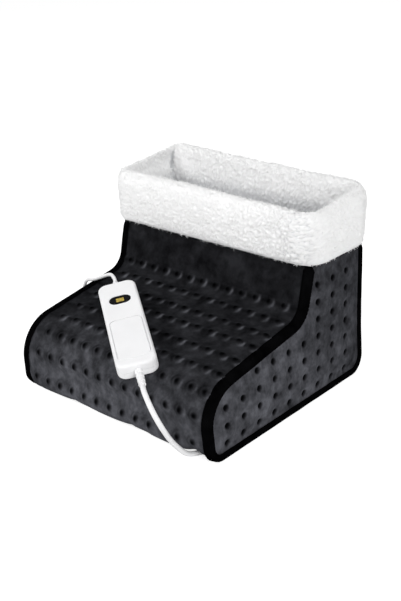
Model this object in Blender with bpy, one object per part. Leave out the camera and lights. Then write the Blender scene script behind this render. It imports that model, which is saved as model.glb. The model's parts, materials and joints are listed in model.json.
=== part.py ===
"""Electric foot warmer: a boot-shaped, dot-quilted and heated muff for both feet.

Metres, +Z up, toes towards -Y, right side of the picture towards +X. The padded panels are sewn
together under bound edges, a fleece cuff is folded over the neck, a heating wire lies on a felt
in the sole, and a hand controller with one big level key lies on the instep.
"""

import math

import bmesh
import bpy
from mathutils import Matrix, Vector
from mathutils.geometry import delaunay_2d_cdt

# Clearance between pieces that touch, and how far a cutter runs past what it cuts
GAP = 0.0003
OVERRUN = 0.002

# The boot's side outline, drawn along the edge of its binding
BOOT_WIDTH = 0.300
BOOT_LENGTH = 0.3005
NOSE_HEIGHT = 0.0847
INSTEP_LENGTH = 0.1745
INSTEP_RISE = 0.0279
NECK_RUN = 0.0120
BACK_LEAN = 0.0025
KNEE_SHARE = 0.47
KNEE_RISE = 0.020
SQUEEZE = 0.004
SPREAD = 0.004
SPREAD_HEIGHT = 0.0702
TOE_LEAN = 0.0045
SHELL_HEIGHT = 0.222
TOE_RADIUS = 0.020
NOSE_RADIUS = 0.050
NECK_RADIUS = 0.025
HEEL_RADIUS = 0.024
SEAM_RISE = 0.0140

# Binding, panels and their quilting
BINDING_WIDTH = 0.0075
BINDING_DEPTH = 0.0070
PANEL_SET_IN = 0.0015
PANEL_THICKNESS = 0.0060
PANEL_CROWN = 0.0050
CROWN_RUN = 0.040
PANEL_STEP = 0.0136
DOT_DEPTH = 0.0035
DOT_RADIUS = 0.0055
DOT_PITCH = 0.0212
ROW_PITCH = 0.0268
ROW_MARGIN = 0.0080
SIDE_PITCH = 0.0284
SIDE_RISE = 0.0216
SIDE_FIRST = 0.0345
SIDE_MARGIN = 0.0078
DOT_SIDES = 5

# Sole and lining
SOLE_CLEARANCE = 0.0066
SOLE_THICKNESS = 0.0050
FOAM_THICKNESS = 0.0100
FOAM_INSET = 0.0082
FELT_THICKNESS = 0.0020
FELT_MARGIN = 0.0120
WIRE_DIAMETER = 0.0024
WIRE_RUNS = 10
WIRE_MARGIN = 0.0100
LINING_THICKNESS = 0.0060
FOOTBED_THICKNESS = 0.0080
LINING_STOP = 0.0040

# Cuff
CUFF_REACH = 0.0090
CUFF_STAND = 0.0200
CUFF_TILT = 0.0060
CUFF_LEAN = 0.0030
CUFF_OVERHANG = 0.0055
CUFF_FRONT_OVERHANG = 0.0060
CUFF_BULGE = 0.0060
CUFF_THICKNESS = 0.0240
CUFF_RADIUS = 0.028
CUFF_LEFT_RADIUS = 0.016
CUFF_MOUTH_RADIUS = 0.008
SLOT_RADIUS = 0.003

# Thermostat
THERMOSTAT_LENGTH = 0.022
THERMOSTAT_WIDTH = 0.009
THERMOSTAT_HEIGHT = 0.0045

# Gland of the boot's lead, low on the left side
GLAND_FROM_HEEL = 0.03825
GLAND_HEIGHT = 0.0185
GLAND_FLANGE_RADIUS = 0.0075
GLAND_FLANGE_THICKNESS = 0.0020
GLAND_SLEEVE_RADIUS = 0.0040
GLAND_SLEEVE_LENGTH = 0.0070
GLAND_SHANK_RADIUS = 0.0032
GLAND_SPOT_RADIUS = 0.0150

# Controller
CONTROLLER_LENGTH = 0.171
CONTROLLER_WIDTH = 0.0465
CONTROLLER_HEIGHT = 0.019
CONTROLLER_CORNER = 0.011
CONTROLLER_X = -0.0065
CONTROLLER_FROM_TOE = 0.0433
CONTROLLER_STANDOFF = 0.0010
CONTROLLER_YAW = math.radians(52.9)
CONTROLLER_PITCH = math.radians(10.0)
CONTROLLER_ROLL = math.radians(-9.5)
SHELL_WALL = 0.0020
PARTING_HEIGHT = 0.0090
BACK_EDGE_RADIUS = 0.0040
FRONT_EDGE_RADIUS = 0.0035
WINDOW_WIDTH = 0.0260
WINDOW_LENGTH = 0.0170
WINDOW_FROM_TOP = 0.0404
WINDOW_FLANGE = 0.0012
INDICATOR_WIDTH = 0.0094
INDICATOR_LENGTH = 0.0070
INDICATOR_DEPTH = 0.0008
KEY_FROM_BOTTOM = 0.0130
KEY_WIDTH = 0.0375
KEY_FROM_TOP = 0.0810
KEY_CORNER = 0.0060
KEY_GAP = 0.0004
KEY_FLANGE = 0.0010
KEY_FLANGE_THICKNESS = 0.0015
KEY_STEM_LENGTH = 0.0015
KEY_STEM_RADIUS = 0.0025
KEY_TRAVEL = 0.0015
KEY_STEM_SPREAD = 0.0180
BOARD_THICKNESS = 0.0016
BOARD_HEIGHT = 0.0070
BOARD_MARGIN = 0.0050
BOARD_END_MARGIN = 0.0170
RIB_THICKNESS = 0.0015
RIB_SPREAD = 0.0450
SWITCH_SIZE = 0.0060
MODULE_WIDTH = 0.0200
MODULE_LENGTH = 0.0120
POST_END_MARGIN = 0.0075
POST_SIDE_MARGIN = 0.0090
BACK_POST_RADIUS = 0.0040
FRONT_POST_RADIUS = 0.0030
SCREW_HEAD_RADIUS = 0.0026
SCREW_HEAD_HEIGHT = 0.0020
SCREW_RADIUS = 0.0012
SCREW_SINK = 0.0018
SCREW_LENGTH = 0.0105

# Strain reliefs
COLLAR_THICKNESS = 0.0025
BOTTOM_COLLAR_RADIUS = 0.0052
BOTTOM_NECK_RADIUS = 0.0034
BOTTOM_RELIEF_RADIUS = 0.0048
BOTTOM_RELIEF_LENGTH = 0.0250
TOP_COLLAR_RADIUS = 0.0044
TOP_NECK_RADIUS = 0.0028
TOP_RELIEF_RADIUS = 0.0040
TOP_RELIEF_LENGTH = 0.0120
RELIEF_TIP_SHARE = 0.85
RELIEF_GROOVE = 0.0007
RELIEF_GROOVES = 3

# Leads, coil and plug
MAINS_DIAMETER = 0.0060
BOOT_LEAD_DIAMETER = 0.0045
TAIL_DIAMETER = 0.0030
LEAD_STEP = 2.6
COIL_TURNS = 6.25
COIL_INNER_RADIUS = 0.0205
COIL_SPACING = 0.0006
COIL_LAYER_SHARE = 0.6
COIL_X = 0.0040
COIL_Y = 0.2120
COIL_POINTS = 24
TIE_WIDTH = 0.0100
TIE_THICKNESS = 0.0010
TIE_SLACK = 0.0014
TIE_ANGLE = math.radians(-45)
PLUG_LENGTH = 0.0350
PLUG_WIDTH = 0.0353
PLUG_HEIGHT = 0.0137
PIN_DIAMETER = 0.0040
PIN_LENGTH = 0.0190
PIN_SEAT = 0.0070
PIN_SPREAD = 0.0190
PLUG_RELIEF_LENGTH = 0.0150
PLUG_X = -0.0830
PLUG_Y = 0.2220

ARC_STEP = math.radians(15)

# Brings the middle of the footprint, leads left out, to the origin
FOOTPRINT_SHIFT = 0.00509
ROUND_SIDES = 12


# Places that follow from the sizes above
HALF = BOOT_WIDTH / 2
TOE_Y = -BOOT_LENGTH / 2
HEEL_Y = BOOT_LENGTH / 2
NECK_FOOT = Vector((TOE_Y + INSTEP_LENGTH, NOSE_HEIGHT + INSTEP_RISE))
SEAM_HEIGHT = NECK_FOOT.y + SEAM_RISE
KNEE_HEIGHT = NECK_FOOT.y + (SHELL_HEIGHT - NECK_FOOT.y) * KNEE_SHARE
KNEE_TOP = KNEE_HEIGHT + KNEE_RISE
CUFF_BOTTOM = KNEE_HEIGHT + CUFF_REACH
CUFF_TOP = SHELL_HEIGHT + CUFF_STAND
LINING_TOP = KNEE_HEIGHT - LINING_STOP
NECK_KNEE_Y = NECK_FOOT.x + NECK_RUN
NECK_TOP_Y = NECK_KNEE_Y + SQUEEZE * 2
BACK_TOP_Y = HEEL_Y - BACK_LEAN - SQUEEZE
GLAND_Y = HEEL_Y - GLAND_FROM_HEEL
SOLE_EDGE = 5
SIDE_INSET = BINDING_DEPTH + GAP
STRIP_HALF = HALF - BINDING_WIDTH - GAP
LINING_OUT = PANEL_THICKNESS + GAP
LINING_IN = LINING_OUT + LINING_THICKNESS
KEY_LENGTH = CONTROLLER_LENGTH - KEY_FROM_TOP - KEY_FROM_BOTTOM
FOAM_BOTTOM = SOLE_CLEARANCE + SOLE_THICKNESS + GAP
FELT_BOTTOM = FOAM_BOTTOM + FOAM_THICKNESS + GAP
WIRE_HEIGHT = FELT_BOTTOM + FELT_THICKNESS + GAP + WIRE_DIAMETER / 2
FOOTBED_BOTTOM = FELT_BOTTOM + FELT_THICKNESS + 2 * GAP + THERMOSTAT_HEIGHT
LINING_BOTTOM = FOOTBED_BOTTOM + FOOTBED_THICKNESS + GAP


def material(name, colour, roughness, metallic=0.0):
    made = bpy.data.materials.new(name)
    made.use_nodes = True
    shader = made.node_tree.nodes["Principled BSDF"]
    shader.inputs["Base Color"].default_value = (*colour, 1.0)
    shader.inputs["Roughness"].default_value = roughness
    shader.inputs["Metallic"].default_value = metallic
    made.diffuse_color = (*colour, 1.0)
    return made


def clear_scene():
    for thing in list(bpy.data.objects):
        bpy.data.objects.remove(thing, do_unlink=True)


def add_object(name, data, finish, parent=None):
    thing = bpy.data.objects.new(name, data)
    bpy.context.scene.collection.objects.link(thing)
    data.materials.append(finish)
    thing.parent = parent
    return thing


def finish_mesh(name, shape, finish, parent=None, sharp=35):
    """Turns a bmesh into an object with its faces pointing out and its curved faces smooth."""
    bmesh.ops.recalc_face_normals(shape, faces=shape.faces)
    mesh = bpy.data.meshes.new(name)
    shape.to_mesh(mesh)
    shape.free()
    mesh.shade_smooth()
    mesh.set_sharp_from_angle(angle=math.radians(sharp))
    return add_object(name, mesh, finish, parent)


def loft(name, rings, finish, parent=None, round_trip=False, sharp=35):
    """One closed skin through rings of equally many points.

    A round trip joins the last ring to the first; otherwise each end gets a cap.
    """
    shape = bmesh.new()
    rows = [[shape.verts.new(point) for point in ring] for ring in rings]
    pairs = list(zip(rows, rows[1:]))
    if round_trip:
        pairs.append((rows[-1], rows[0]))
    for low, high in pairs:
        for i in range(len(low)):
            j = (i + 1) % len(low)
            shape.faces.new((low[i], low[j], high[j], high[i]))
    if not round_trip:
        shape.faces.new(reversed(rows[0]))
        shape.faces.new(rows[-1])
    return finish_mesh(name, shape, finish, parent, sharp)


def cutter(thing):
    """Keeps a helper out of the finished part."""
    thing.hide_render = True
    thing.display_type = "WIRE"
    return thing


def boolean(thing, other, operation):
    made = thing.modifiers.new(other.name, "BOOLEAN")
    made.operation = operation
    made.object = other
    made.solver = "EXACT"


def rounded_rectangle(half_x, half_y, radius, steps=5):
    """Points round a rectangle with round corners, anticlockwise from the right side."""
    points = []
    for quarter, (sign_x, sign_y) in enumerate(((1, 1), (-1, 1), (-1, -1), (1, -1))):
        for step in range(steps + 1):
            angle = math.radians(90) * (quarter + step / steps)
            x = sign_x * (half_x - radius) + radius * math.cos(angle)
            y = sign_y * (half_y - radius) + radius * math.sin(angle)
            points.append((x, y))
    return points


def circle(radius, sides=ROUND_SIDES):
    turns = [2 * math.pi * k / sides for k in range(sides)]
    return [(radius * math.cos(turn), radius * math.sin(turn)) for turn in turns]


def turned(name, profile, finish, place=None, parent=None, sides=ROUND_SIDES):
    """A solid of revolution about its own Z through (radius, height) steps, then put in place."""
    place = place or Matrix.Identity(4)
    rings = []
    for radius, height in profile:
        rings.append([place @ Vector((x, y, height)) for x, y in circle(radius, sides)])
    return loft(name, rings, finish, parent)


def prism(name, points, low, high, finish, place=None, parent=None):
    place = place or Matrix.Identity(4)
    rings = [[place @ Vector((x, y, z)) for x, y in points] for z in (low, high)]
    return loft(name, rings, finish, parent)


def box(name, low, high, finish, parent=None, soften=0.0):
    shape = bmesh.new()
    bmesh.ops.create_cube(shape, size=1.0)
    low, high = Vector(low), Vector(high)
    for vertex in shape.verts:
        for axis in range(3):
            vertex.co[axis] = low[axis] if vertex.co[axis] < 0 else high[axis]
    if soften:
        bmesh.ops.bevel(shape, geom=shape.edges[:], offset=soften, segments=2, affect="EDGES", profile=0.5)
    return finish_mesh(name, shape, finish, parent)


# Side outlines

def rim_corners():
    """Corners of the side outline from the front rim, round the toe and sole, to the back rim."""
    back_knee_y = HEEL_Y - BACK_LEAN
    corners = [
        (Vector((NECK_TOP_Y, SHELL_HEIGHT)), 0.0),
        (Vector((NECK_TOP_Y, KNEE_TOP)), 0.0),
        (Vector((NECK_KNEE_Y, KNEE_HEIGHT)), 0.0),
        (NECK_FOOT, NECK_RADIUS),
        (Vector((TOE_Y, NOSE_HEIGHT)), NOSE_RADIUS),
        (Vector((TOE_Y + TOE_LEAN, 0.0)), TOE_RADIUS),
        (Vector((HEEL_Y, 0.0)), HEEL_RADIUS),
        (Vector((back_knee_y, KNEE_HEIGHT)), 0.0),
        (Vector((BACK_TOP_Y, KNEE_TOP)), 0.0),
        (Vector((BACK_TOP_Y, SHELL_HEIGHT)), 0.0),
    ]
    return corners


def crossing(point, along, other, other_along):
    """Where two lines in the side view meet."""
    across = along.x * other_along.y - along.y * other_along.x
    reach = ((other.x - point.x) * other_along.y - (other.y - point.y) * other_along.x) / across
    return point + along * reach


def outline(wall, sole):
    """The side outline drawn in by wall all round, but with its sole line raised by sole."""
    corners = rim_corners()
    lines = []
    for i, ((start, _), (end, _)) in enumerate(zip(corners, corners[1:])):
        along = (end - start).normalized()
        inward = Vector((-along.y, along.x))
        lines.append((start + inward * (sole if i == SOLE_EDGE else wall), along))
    first = Vector((lines[0][0].x, SHELL_HEIGHT))
    last = Vector((lines[-1][0].x, SHELL_HEIGHT))
    points = [first]
    for (line, along), (next_line, next_along), (_, radius) in zip(lines, lines[1:], corners[1:]):
        corner = crossing(line, along, next_line, next_along)
        turn = math.atan2(along.cross(next_along), along.dot(next_along))
        if radius == 0:
            points.append(corner)
            continue
        side = math.copysign(1, turn)
        radius -= side * wall
        tangent = radius * math.tan(abs(turn) / 2)
        left = Vector((-along.y, along.x)) * side
        start = corner - along * tangent
        centre = start + left * radius
        count = max(1, math.ceil(abs(turn) / ARC_STEP))
        for step in range(count + 1):
            spoke = (start - centre).copy()
            spoke.rotate(Matrix.Rotation(turn * step / count, 2))
            points.append(centre + spoke)
    points.append(last)
    return levelled(points, SPREAD_HEIGHT)


def levelled(points, height):
    """The same line with a point of its own wherever it crosses a height."""
    found = [points[0]]
    for start, end in zip(points, points[1:]):
        if (start.y - height) * (end.y - height) < 0:
            found.append(start.lerp(end, (height - start.y) / (end.y - start.y)))
        found.append(end)
    return found


class Path:
    """A line of points in the side view, measured along its length."""

    def __init__(self, points):
        self.points = points
        self.marks = [0.0]
        for start, end in zip(points, points[1:]):
            self.marks.append(self.marks[-1] + (end - start).length)
        ways = [(end - start).normalized() for start, end in zip(points, points[1:])]
        normals = []
        for before, after in zip([ways[0]] + ways, ways + [ways[-1]]):
            way = (before + after).normalized()
            normals.append(Vector((-way.y, way.x)))
        self.normals = normals

    def at(self, station):
        """The point and the inward normal at this distance along the line."""
        for i in range(len(self.points) - 1):
            if station <= self.marks[i + 1] or i == len(self.points) - 2:
                share = (station - self.marks[i]) / (self.marks[i + 1] - self.marks[i])
                point = self.points[i].lerp(self.points[i + 1], share)
                return point, self.normals[i].lerp(self.normals[i + 1], share).normalized()

    def stations(self, start, end, step):
        """Start, end, the line's own points between them, and more where those lie far apart."""
        knots = [start] + [m for m in self.marks if start + GAP < m < end - GAP] + [end]
        found = []
        for low, high in zip(knots, knots[1:]):
            count = max(1, math.ceil((high - low) / step))
            found += [low + (high - low) * k / count for k in range(count)]
        return found + [end]

    def find(self, test, after=0.0):
        """The first station past another where the test is true of the point, to a hair."""
        count = math.ceil((self.marks[-1] - after) / GAP)
        for k in range(count + 1):
            station = after + (self.marks[-1] - after) * k / count
            if test(self.at(station)[0]):
                return station
        raise ValueError("no such place on this line")


STRIP = Path(outline(PANEL_SET_IN, SOLE_CLEARANCE))
SEAM_STATION = STRIP.find(lambda p: p.y < SEAM_HEIGHT)
TOE_STATION = STRIP.find(lambda p: p.y < SOLE_CLEARANCE + GAP)
HEEL_STATION = STRIP.find(lambda p: p.y > SOLE_CLEARANCE + GAP, TOE_STATION + NOSE_HEIGHT)
RIM_STATION = STRIP.marks[-1]


def smooth(share):
    share = min(max(share, 0.0), 1.0)
    return share * share * (3 - 2 * share)


def squeezed(height):
    """How far the sides are drawn in at this height: in under the cuff, and out near the floor."""
    under_cuff = min(max((height - KNEE_HEIGHT) / KNEE_RISE, 0.0), 1.0)
    return SQUEEZE * under_cuff - SPREAD * max(1 - height / SPREAD_HEIGHT, 0.0)


def swell(edge_distance, height):
    """How far a padded panel stands proud of its edges; nothing under the cuff."""
    share = min(max(edge_distance / CROWN_RUN, 0.0), 1.0)
    under_cuff = smooth((height - (KNEE_HEIGHT - KNEE_RISE)) / KNEE_RISE)
    return PANEL_CROWN * (1 - (1 - share) ** 2) * (1 - under_cuff)


# Padded panels

def quilted_skin(shape, border, dots, fillers, lines, place):
    """Adds a panel's skin with its pressed dots and bends, and returns its border's vertices in order."""
    flat = [Vector(p) for p in border]
    bends = []
    for line in lines:
        bends += [(len(flat) + k, len(flat) + k + 1) for k in range(len(line) - 1)]
        flat += line
    pressed = set()
    for dot in dots:
        pressed.add(len(flat))
        flat.append(Vector(dot))
        for x, y in circle(DOT_RADIUS, DOT_SIDES):
            flat.append(Vector(dot) + Vector((y, x)))
    flat += [Vector(p) for p in fillers]
    loop = list(range(len(border)))
    found = delaunay_2d_cdt(flat, bends, [loop], 1, GAP / 10)
    made = {}
    vertices = []
    for point, sources in zip(found[0], found[3]):
        depth = DOT_DEPTH if pressed.intersection(sources) else 0.0
        vertex = shape.verts.new(place(point, depth))
        vertices.append(vertex)
        for source in sources:
            made[source] = vertex
    for face in found[2]:
        shape.faces.new([vertices[i] for i in face])
    return [made[i] for i in loop]


def strip_point(x, station, depth):
    """A place on the strip that runs over toe, sole and back; depth counts inwards."""
    point, inward = STRIP.at(station)
    point = point + inward * depth
    drawn_in = squeezed(point.y) / STRIP_HALF
    return Vector((x * (1 - drawn_in), point.x, point.y))


def across(count):
    return [STRIP_HALF * (2 * k / count - 1) for k in range(count + 1)]


def strip_swell(x, station, start, end):
    height = STRIP.at(station)[0].y
    return swell(min(STRIP_HALF - abs(x), station - start, end - station), height)


def quilted_strip(name, start, end, rows, knees, finish):
    """A quilted panel of the strip, plain inside; knees are stations where the cuff bends it in."""
    columns = across(14)
    stations = STRIP.stations(start, end, PANEL_STEP)
    border = [(STRIP_HALF, s) for s in stations]
    border += [(x, end) for x in reversed(columns[1:-1])]
    border += [(-STRIP_HALF, s) for s in reversed(stations)]
    border += [(x, start) for x in columns[1:-1]]
    per_side = int((STRIP_HALF - DOT_RADIUS * 1.5) / DOT_PITCH)
    places = [DOT_PITCH * k for k in range(-per_side, per_side + 1)]
    dots = [(x, s) for s in rows for x in places]
    fillers = [(x, s) for s in knees for x in across(6)[1:-1]]
    for low, high in zip(rows, rows[1:]):
        fillers += [(x + DOT_PITCH / 2, (low + high) / 2) for x in places[:-1]]

    def place(point, depth):
        height = strip_swell(point.x, point.y, start, end)
        return strip_point(point.x, point.y, depth - height)

    shape = bmesh.new()
    rim = quilted_skin(shape, border, dots, fillers, [], place)
    count = len(stations)
    inner_right = [shape.verts.new(strip_point(STRIP_HALF, s, PANEL_THICKNESS)) for s in stations]
    inner_left = [shape.verts.new(strip_point(-STRIP_HALF, s, PANEL_THICKNESS)) for s in stations]
    outer_right = rim[:count]
    outer_left = list(reversed(rim[count + len(columns) - 2:2 * count + len(columns) - 2]))
    for i in range(count - 1):
        shape.faces.new((inner_right[i], inner_right[i + 1], inner_left[i + 1], inner_left[i]))
        shape.faces.new((outer_right[i], outer_right[i + 1], inner_right[i + 1], inner_right[i]))
        shape.faces.new((outer_left[i + 1], outer_left[i], inner_left[i], inner_left[i + 1]))
    toe_edge = rim[count - 1:count + len(columns) - 1]
    seam_edge = rim[2 * count + len(columns) - 2:] + [rim[0]]
    shape.faces.new(toe_edge + [inner_left[-1], inner_right[-1]])
    shape.faces.new([outer_left[0]] + seam_edge + [inner_right[0], inner_left[0]])
    return finish_mesh(name, shape, finish, sharp=60)


def plain_strip(name, start, end, outside, inside, finish, columns=1, swollen=False):
    """A plain sheet of the strip between two depths."""
    rings = []
    for station in STRIP.stations(start, end, PANEL_STEP):
        ring = []
        for x in across(columns):
            proud = strip_swell(x, station, start, end) / 2 if swollen else 0.0
            ring.append(strip_point(x, station, outside - proud))
        ring += [strip_point(x, station, inside) for x in (STRIP_HALF, -STRIP_HALF)]
        rings.append(ring)
    return loft(name, rings, finish, sharp=50)


def side_border(inset, top):
    """The border of a side piece: the outline drawn in, closed along the top."""
    path = Path(outline(inset, inset))
    start, end = 0.0, path.marks[-1]
    if top < SHELL_HEIGHT:
        start = path.find(lambda p: p.y < top)
        end = path.find(lambda p: p.y > top, start + GAP)
    return [path.at(s)[0] for s in path.stations(start, end, PANEL_STEP)]


def edge_distance(point, border):
    """How far a point of a side panel lies from its border."""
    nearest = BOOT_LENGTH
    for start, end in zip(border, border[1:] + border[:1]):
        along = end - start
        share = min(max((point - start).dot(along) / along.length_squared, 0.0), 1.0)
        nearest = min(nearest, (point - start - along * share).length)
    return nearest


def inside(point, border):
    crossings = 0
    for start, end in zip(border, border[1:] + border[:1]):
        if (start.y > point.y) != (end.y > point.y):
            at_x = start.x + (point.y - start.y) / (end.y - start.y) * (end.x - start.x)
            crossings += at_x > point.x
    return crossings % 2 == 1


def level_line(border, height):
    """Points straight across a side panel at one height, from border to border."""
    ends = [p for p in border if abs(p.y - height) < GAP / 10]
    ends.sort(key=lambda p: p.x)
    count = math.ceil((ends[-1].x - ends[0].x) / SIDE_PITCH)
    return [ends[0].lerp(ends[-1], k / count) for k in range(count + 1)]


def side_panel(name, sign, finish):
    """A quilted side of the boot; the left one is flat where the lead's gland sits."""
    border = side_border(SIDE_INSET, SHELL_HEIGHT)
    for height in (KNEE_HEIGHT, KNEE_TOP):
        border = levelled(border, height)
    gland = Vector((GLAND_Y, GLAND_HEIGHT))
    dots = []
    fillers = []
    for row in range(int(KNEE_HEIGHT / SIDE_RISE)):
        for column in range(int(BOOT_LENGTH / SIDE_PITCH)):
            dot = Vector((TOE_Y + SIDE_FIRST + SIDE_PITCH * column, SIDE_RISE * (row + 0.75)))
            middle = dot + Vector((SIDE_PITCH, SIDE_RISE)) / 2
            taken = sign < 0 and (dot - gland).length < GLAND_SPOT_RADIUS + DOT_RADIUS
            if inside(dot, border) and edge_distance(dot, border) > SIDE_MARGIN and not taken:
                dots.append(dot)
            clear = edge_distance(middle, border) > SIDE_MARGIN
            near_gland = sign < 0 and (middle - gland).length < GLAND_SPOT_RADIUS
            if inside(middle, border) and clear and middle.y < KNEE_HEIGHT and not near_gland:
                fillers.append(middle)
    lines = [level_line(border, height) for height in (SPREAD_HEIGHT, KNEE_HEIGHT, KNEE_TOP)]
    spot = []
    if sign < 0:
        spot = [gland + Vector(p) for p in circle(GLAND_SPOT_RADIUS * 0.7, 8)] + [gland]
        spot = [p for p in spot if edge_distance(p, border) > GAP and inside(p, border)]

    def place(point, depth):
        proud = swell(edge_distance(point, border), point.y)
        drawn_in = squeezed(point.y)
        if sign < 0:
            away = smooth((point - gland).length / GLAND_SPOT_RADIUS - 1)
            proud *= away
            drawn_in += (squeezed(GLAND_HEIGHT) - drawn_in) * (1 - away)
        x = HALF - PANEL_SET_IN - drawn_in + proud - depth
        return Vector((sign * x, point.x, point.y))

    def place_inside(point, depth):
        return Vector((sign * (HALF - BINDING_WIDTH - squeezed(point.y)), point.x, point.y))

    shape = bmesh.new()
    outer = quilted_skin(shape, border, dots, fillers + spot, lines, place)
    inner = quilted_skin(shape, border, [], [], lines, place_inside)
    for i in range(len(border)):
        j = (i + 1) % len(border)
        shape.faces.new((outer[i], outer[j], inner[j], inner[i]))
    return finish_mesh(name, shape, finish, sharp=60)


def binding(name, sign, finish):
    """The folded tape over the seam all round one side, from front rim to back rim."""
    section_shares = ((0.0, 1.0), (0.0, 0.25), (0.07, 0.07), (0.25, 0.0), (1.0, 0.0), (1.0, 1.0))
    line = Path(outline(0.0, 0.0))
    rings = []
    for station in line.stations(0.0, line.marks[-1], PANEL_STEP * 2):
        point, inward = line.at(station)
        ring = []
        for across_share, depth_share in section_shares:
            place = point + inward * depth_share * BINDING_DEPTH
            x = HALF - squeezed(place.y) - across_share * BINDING_WIDTH
            ring.append(Vector((sign * x, place.x, place.y)))
        rings.append(ring)
    return loft(name, rings, finish, sharp=50)


def side_lining(name, sign, finish):
    """A flat fleece side that stands on the footbed between the front and back linings."""
    border = side_border(PANEL_SET_IN + LINING_IN + GAP, LINING_TOP)
    points = []
    for here, after in zip(border, border[1:] + border[:1]):
        if here.y > LINING_BOTTOM:
            points.append(here)
        if (here.y - LINING_BOTTOM) * (after.y - LINING_BOTTOM) < 0:
            points.append(here.lerp(after, (LINING_BOTTOM - here.y) / (after.y - here.y)))
    outer_x = HALF - BINDING_WIDTH - GAP
    rings = []
    for x in (outer_x, outer_x - LINING_THICKNESS):
        rings.append([Vector((sign * x, p.x, p.y)) for p in points])
    return loft(name, rings, finish)


# Cuff

def cuff_ring(half_x, front, back, radius, height, tilt=0.0, lean=0.0, left_radius=None):
    """One level of the cuff: a rounded rectangle round the neck, lower at the front and the right."""
    half_y = (back - front) / 2
    right_side = rounded_rectangle(half_x, half_y, radius, 6)
    left_side = rounded_rectangle(half_x, half_y, left_radius or radius, 6)
    ring = []
    for right_point, left_point in zip(right_side, left_side):
        x, y = right_point if right_point[0] > 0 else left_point
        rise = tilt * y / half_y - lean * x / half_x
        ring.append(Vector((x, y + (front + back) / 2, height + rise)))
    return ring


def cuff(finish):
    """The fleece cuff: an outer fold that hangs outside the neck and an inner one inside it."""
    rise = CUFF_TOP - CUFF_BOTTOM
    skin_shares = (
        (0.00, 0.00), (0.55, 0.08), (0.90, 0.30), (1.00, 0.62), (0.70, 0.84), (-0.10, 0.95), (-1.00, 1.00),
        (-1.90, 0.97), (-2.60, 0.89), (-3.10, 0.76),
    )
    front = NECK_KNEE_Y + SQUEEZE - CUFF_FRONT_OVERHANG
    back = HEEL_Y - BACK_LEAN + CUFF_OVERHANG
    half_x = HALF + CUFF_OVERHANG
    rings = []

    def add(out, height, share):
        radius = max(CUFF_RADIUS + out, CUFF_MOUTH_RADIUS)
        left_radius = max(CUFF_LEFT_RADIUS + out, CUFF_MOUTH_RADIUS)
        rings.append(cuff_ring(
            half_x + out, front - out, back + out, radius, height, CUFF_TILT * share, CUFF_LEAN * share, left_radius))

    for out_share, height_share in skin_shares:
        add(out_share * CUFF_BULGE, CUFF_BOTTOM + height_share * rise, height_share)
    inner_bottom = LINING_TOP + GAP
    add(-CUFF_THICKNESS, CUFF_BOTTOM + rise / 2, 0.0)
    add(-CUFF_THICKNESS, inner_bottom, 0.0)
    top_depth = PANEL_SET_IN + PANEL_THICKNESS + GAP
    slot_top = SHELL_HEIGHT + GAP
    slot_in = (HALF - SQUEEZE - BINDING_WIDTH - GAP, NECK_TOP_Y + top_depth, BACK_TOP_Y - top_depth)
    for height in (inner_bottom, slot_top):
        rings.append(cuff_ring(*slot_in, SLOT_RADIUS, height))
    slot_out = (HALF - SQUEEZE + GAP, NECK_TOP_Y - GAP, BACK_TOP_Y + GAP)
    for height in (slot_top, KNEE_TOP):
        rings.append(cuff_ring(*slot_out, SLOT_RADIUS / 2, height))
    low_share = (CUFF_BOTTOM - KNEE_HEIGHT) / KNEE_RISE
    low_front = NECK_KNEE_Y + (NECK_TOP_Y - NECK_KNEE_Y) * low_share - GAP
    low_back = HEEL_Y - BACK_LEAN - SQUEEZE * low_share + GAP
    low_half = HALF - SQUEEZE * low_share + GAP
    rings.append(cuff_ring(low_half, low_front, low_back, SLOT_RADIUS / 2, CUFF_BOTTOM))
    return loft("fleece_cuff", rings, finish, round_trip=True, sharp=60)


# Leads

def through(points, closeness):
    """A smooth line through hand-chosen points, read off every closeness metres."""
    padded = [points[0] * 2 - points[1]] + points + [points[-1] * 2 - points[-2]]
    fine = []
    for before, start, end, after in zip(padded, padded[1:], padded[2:], padded[3:]):
        for k in range(24):
            t = k / 24
            fine.append(
                0.5 * (
                    2 * start
                    + (end - before) * t
                    + (2 * before - 5 * start + 4 * end - after) * t ** 2
                    + (3 * start - before - 3 * end + after) * t ** 3
                )
            )
    fine.append(points[-1])
    length = sum((b - a).length for a, b in zip(fine, fine[1:]))
    count = round(length / closeness)
    step = length / count
    read = [fine[0]]
    walked = 0.0
    for a, b in zip(fine, fine[1:]):
        piece = (b - a).length
        while walked + piece >= step * len(read) and len(read) < count:
            read.append(a.lerp(b, (step * len(read) - walked) / piece))
        walked += piece
    return read + [fine[-1]], length


def tube(name, points, diameter, finish, sides=2):
    data = bpy.data.curves.new(name, "CURVE")
    data.dimensions = "3D"
    data.bevel_depth = diameter / 2
    data.bevel_resolution = sides
    data.use_fill_caps = True
    line = data.splines.new("POLY")
    line.points.add(len(points) - 1)
    for target, point in zip(line.points, points):
        target.co = (*point, 1.0)
    return add_object(name, data, finish)


def lead(name, points, diameter, finish, sides=2):
    line, length = through(points, diameter * LEAD_STEP)
    print(f"{name}: {length * 1000:.0f} mm")
    return tube(name, line, diameter, finish, sides)


def grooved(length, base_radius, tip_radius):
    """The outside of a strain relief: a taper with rings cut into it, as (radius, height)."""
    profile = [(base_radius, 0.0)]
    for k in range(RELIEF_GROOVES):
        low_share = (k + 0.75) / (RELIEF_GROOVES + 0.5)
        high_share = (k + 1.25) / (RELIEF_GROOVES + 0.5)
        for share, cut in ((low_share, 0.0), (low_share, RELIEF_GROOVE), (high_share, RELIEF_GROOVE), (high_share, 0.0)):
            bend = GAP if cut else 0.0
            radius = base_radius + (tip_radius - base_radius) * share - cut
            profile.append((radius, length * share + (bend if share == low_share else -bend)))
    profile.append((tip_radius, length))
    return profile


# Controller

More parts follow.
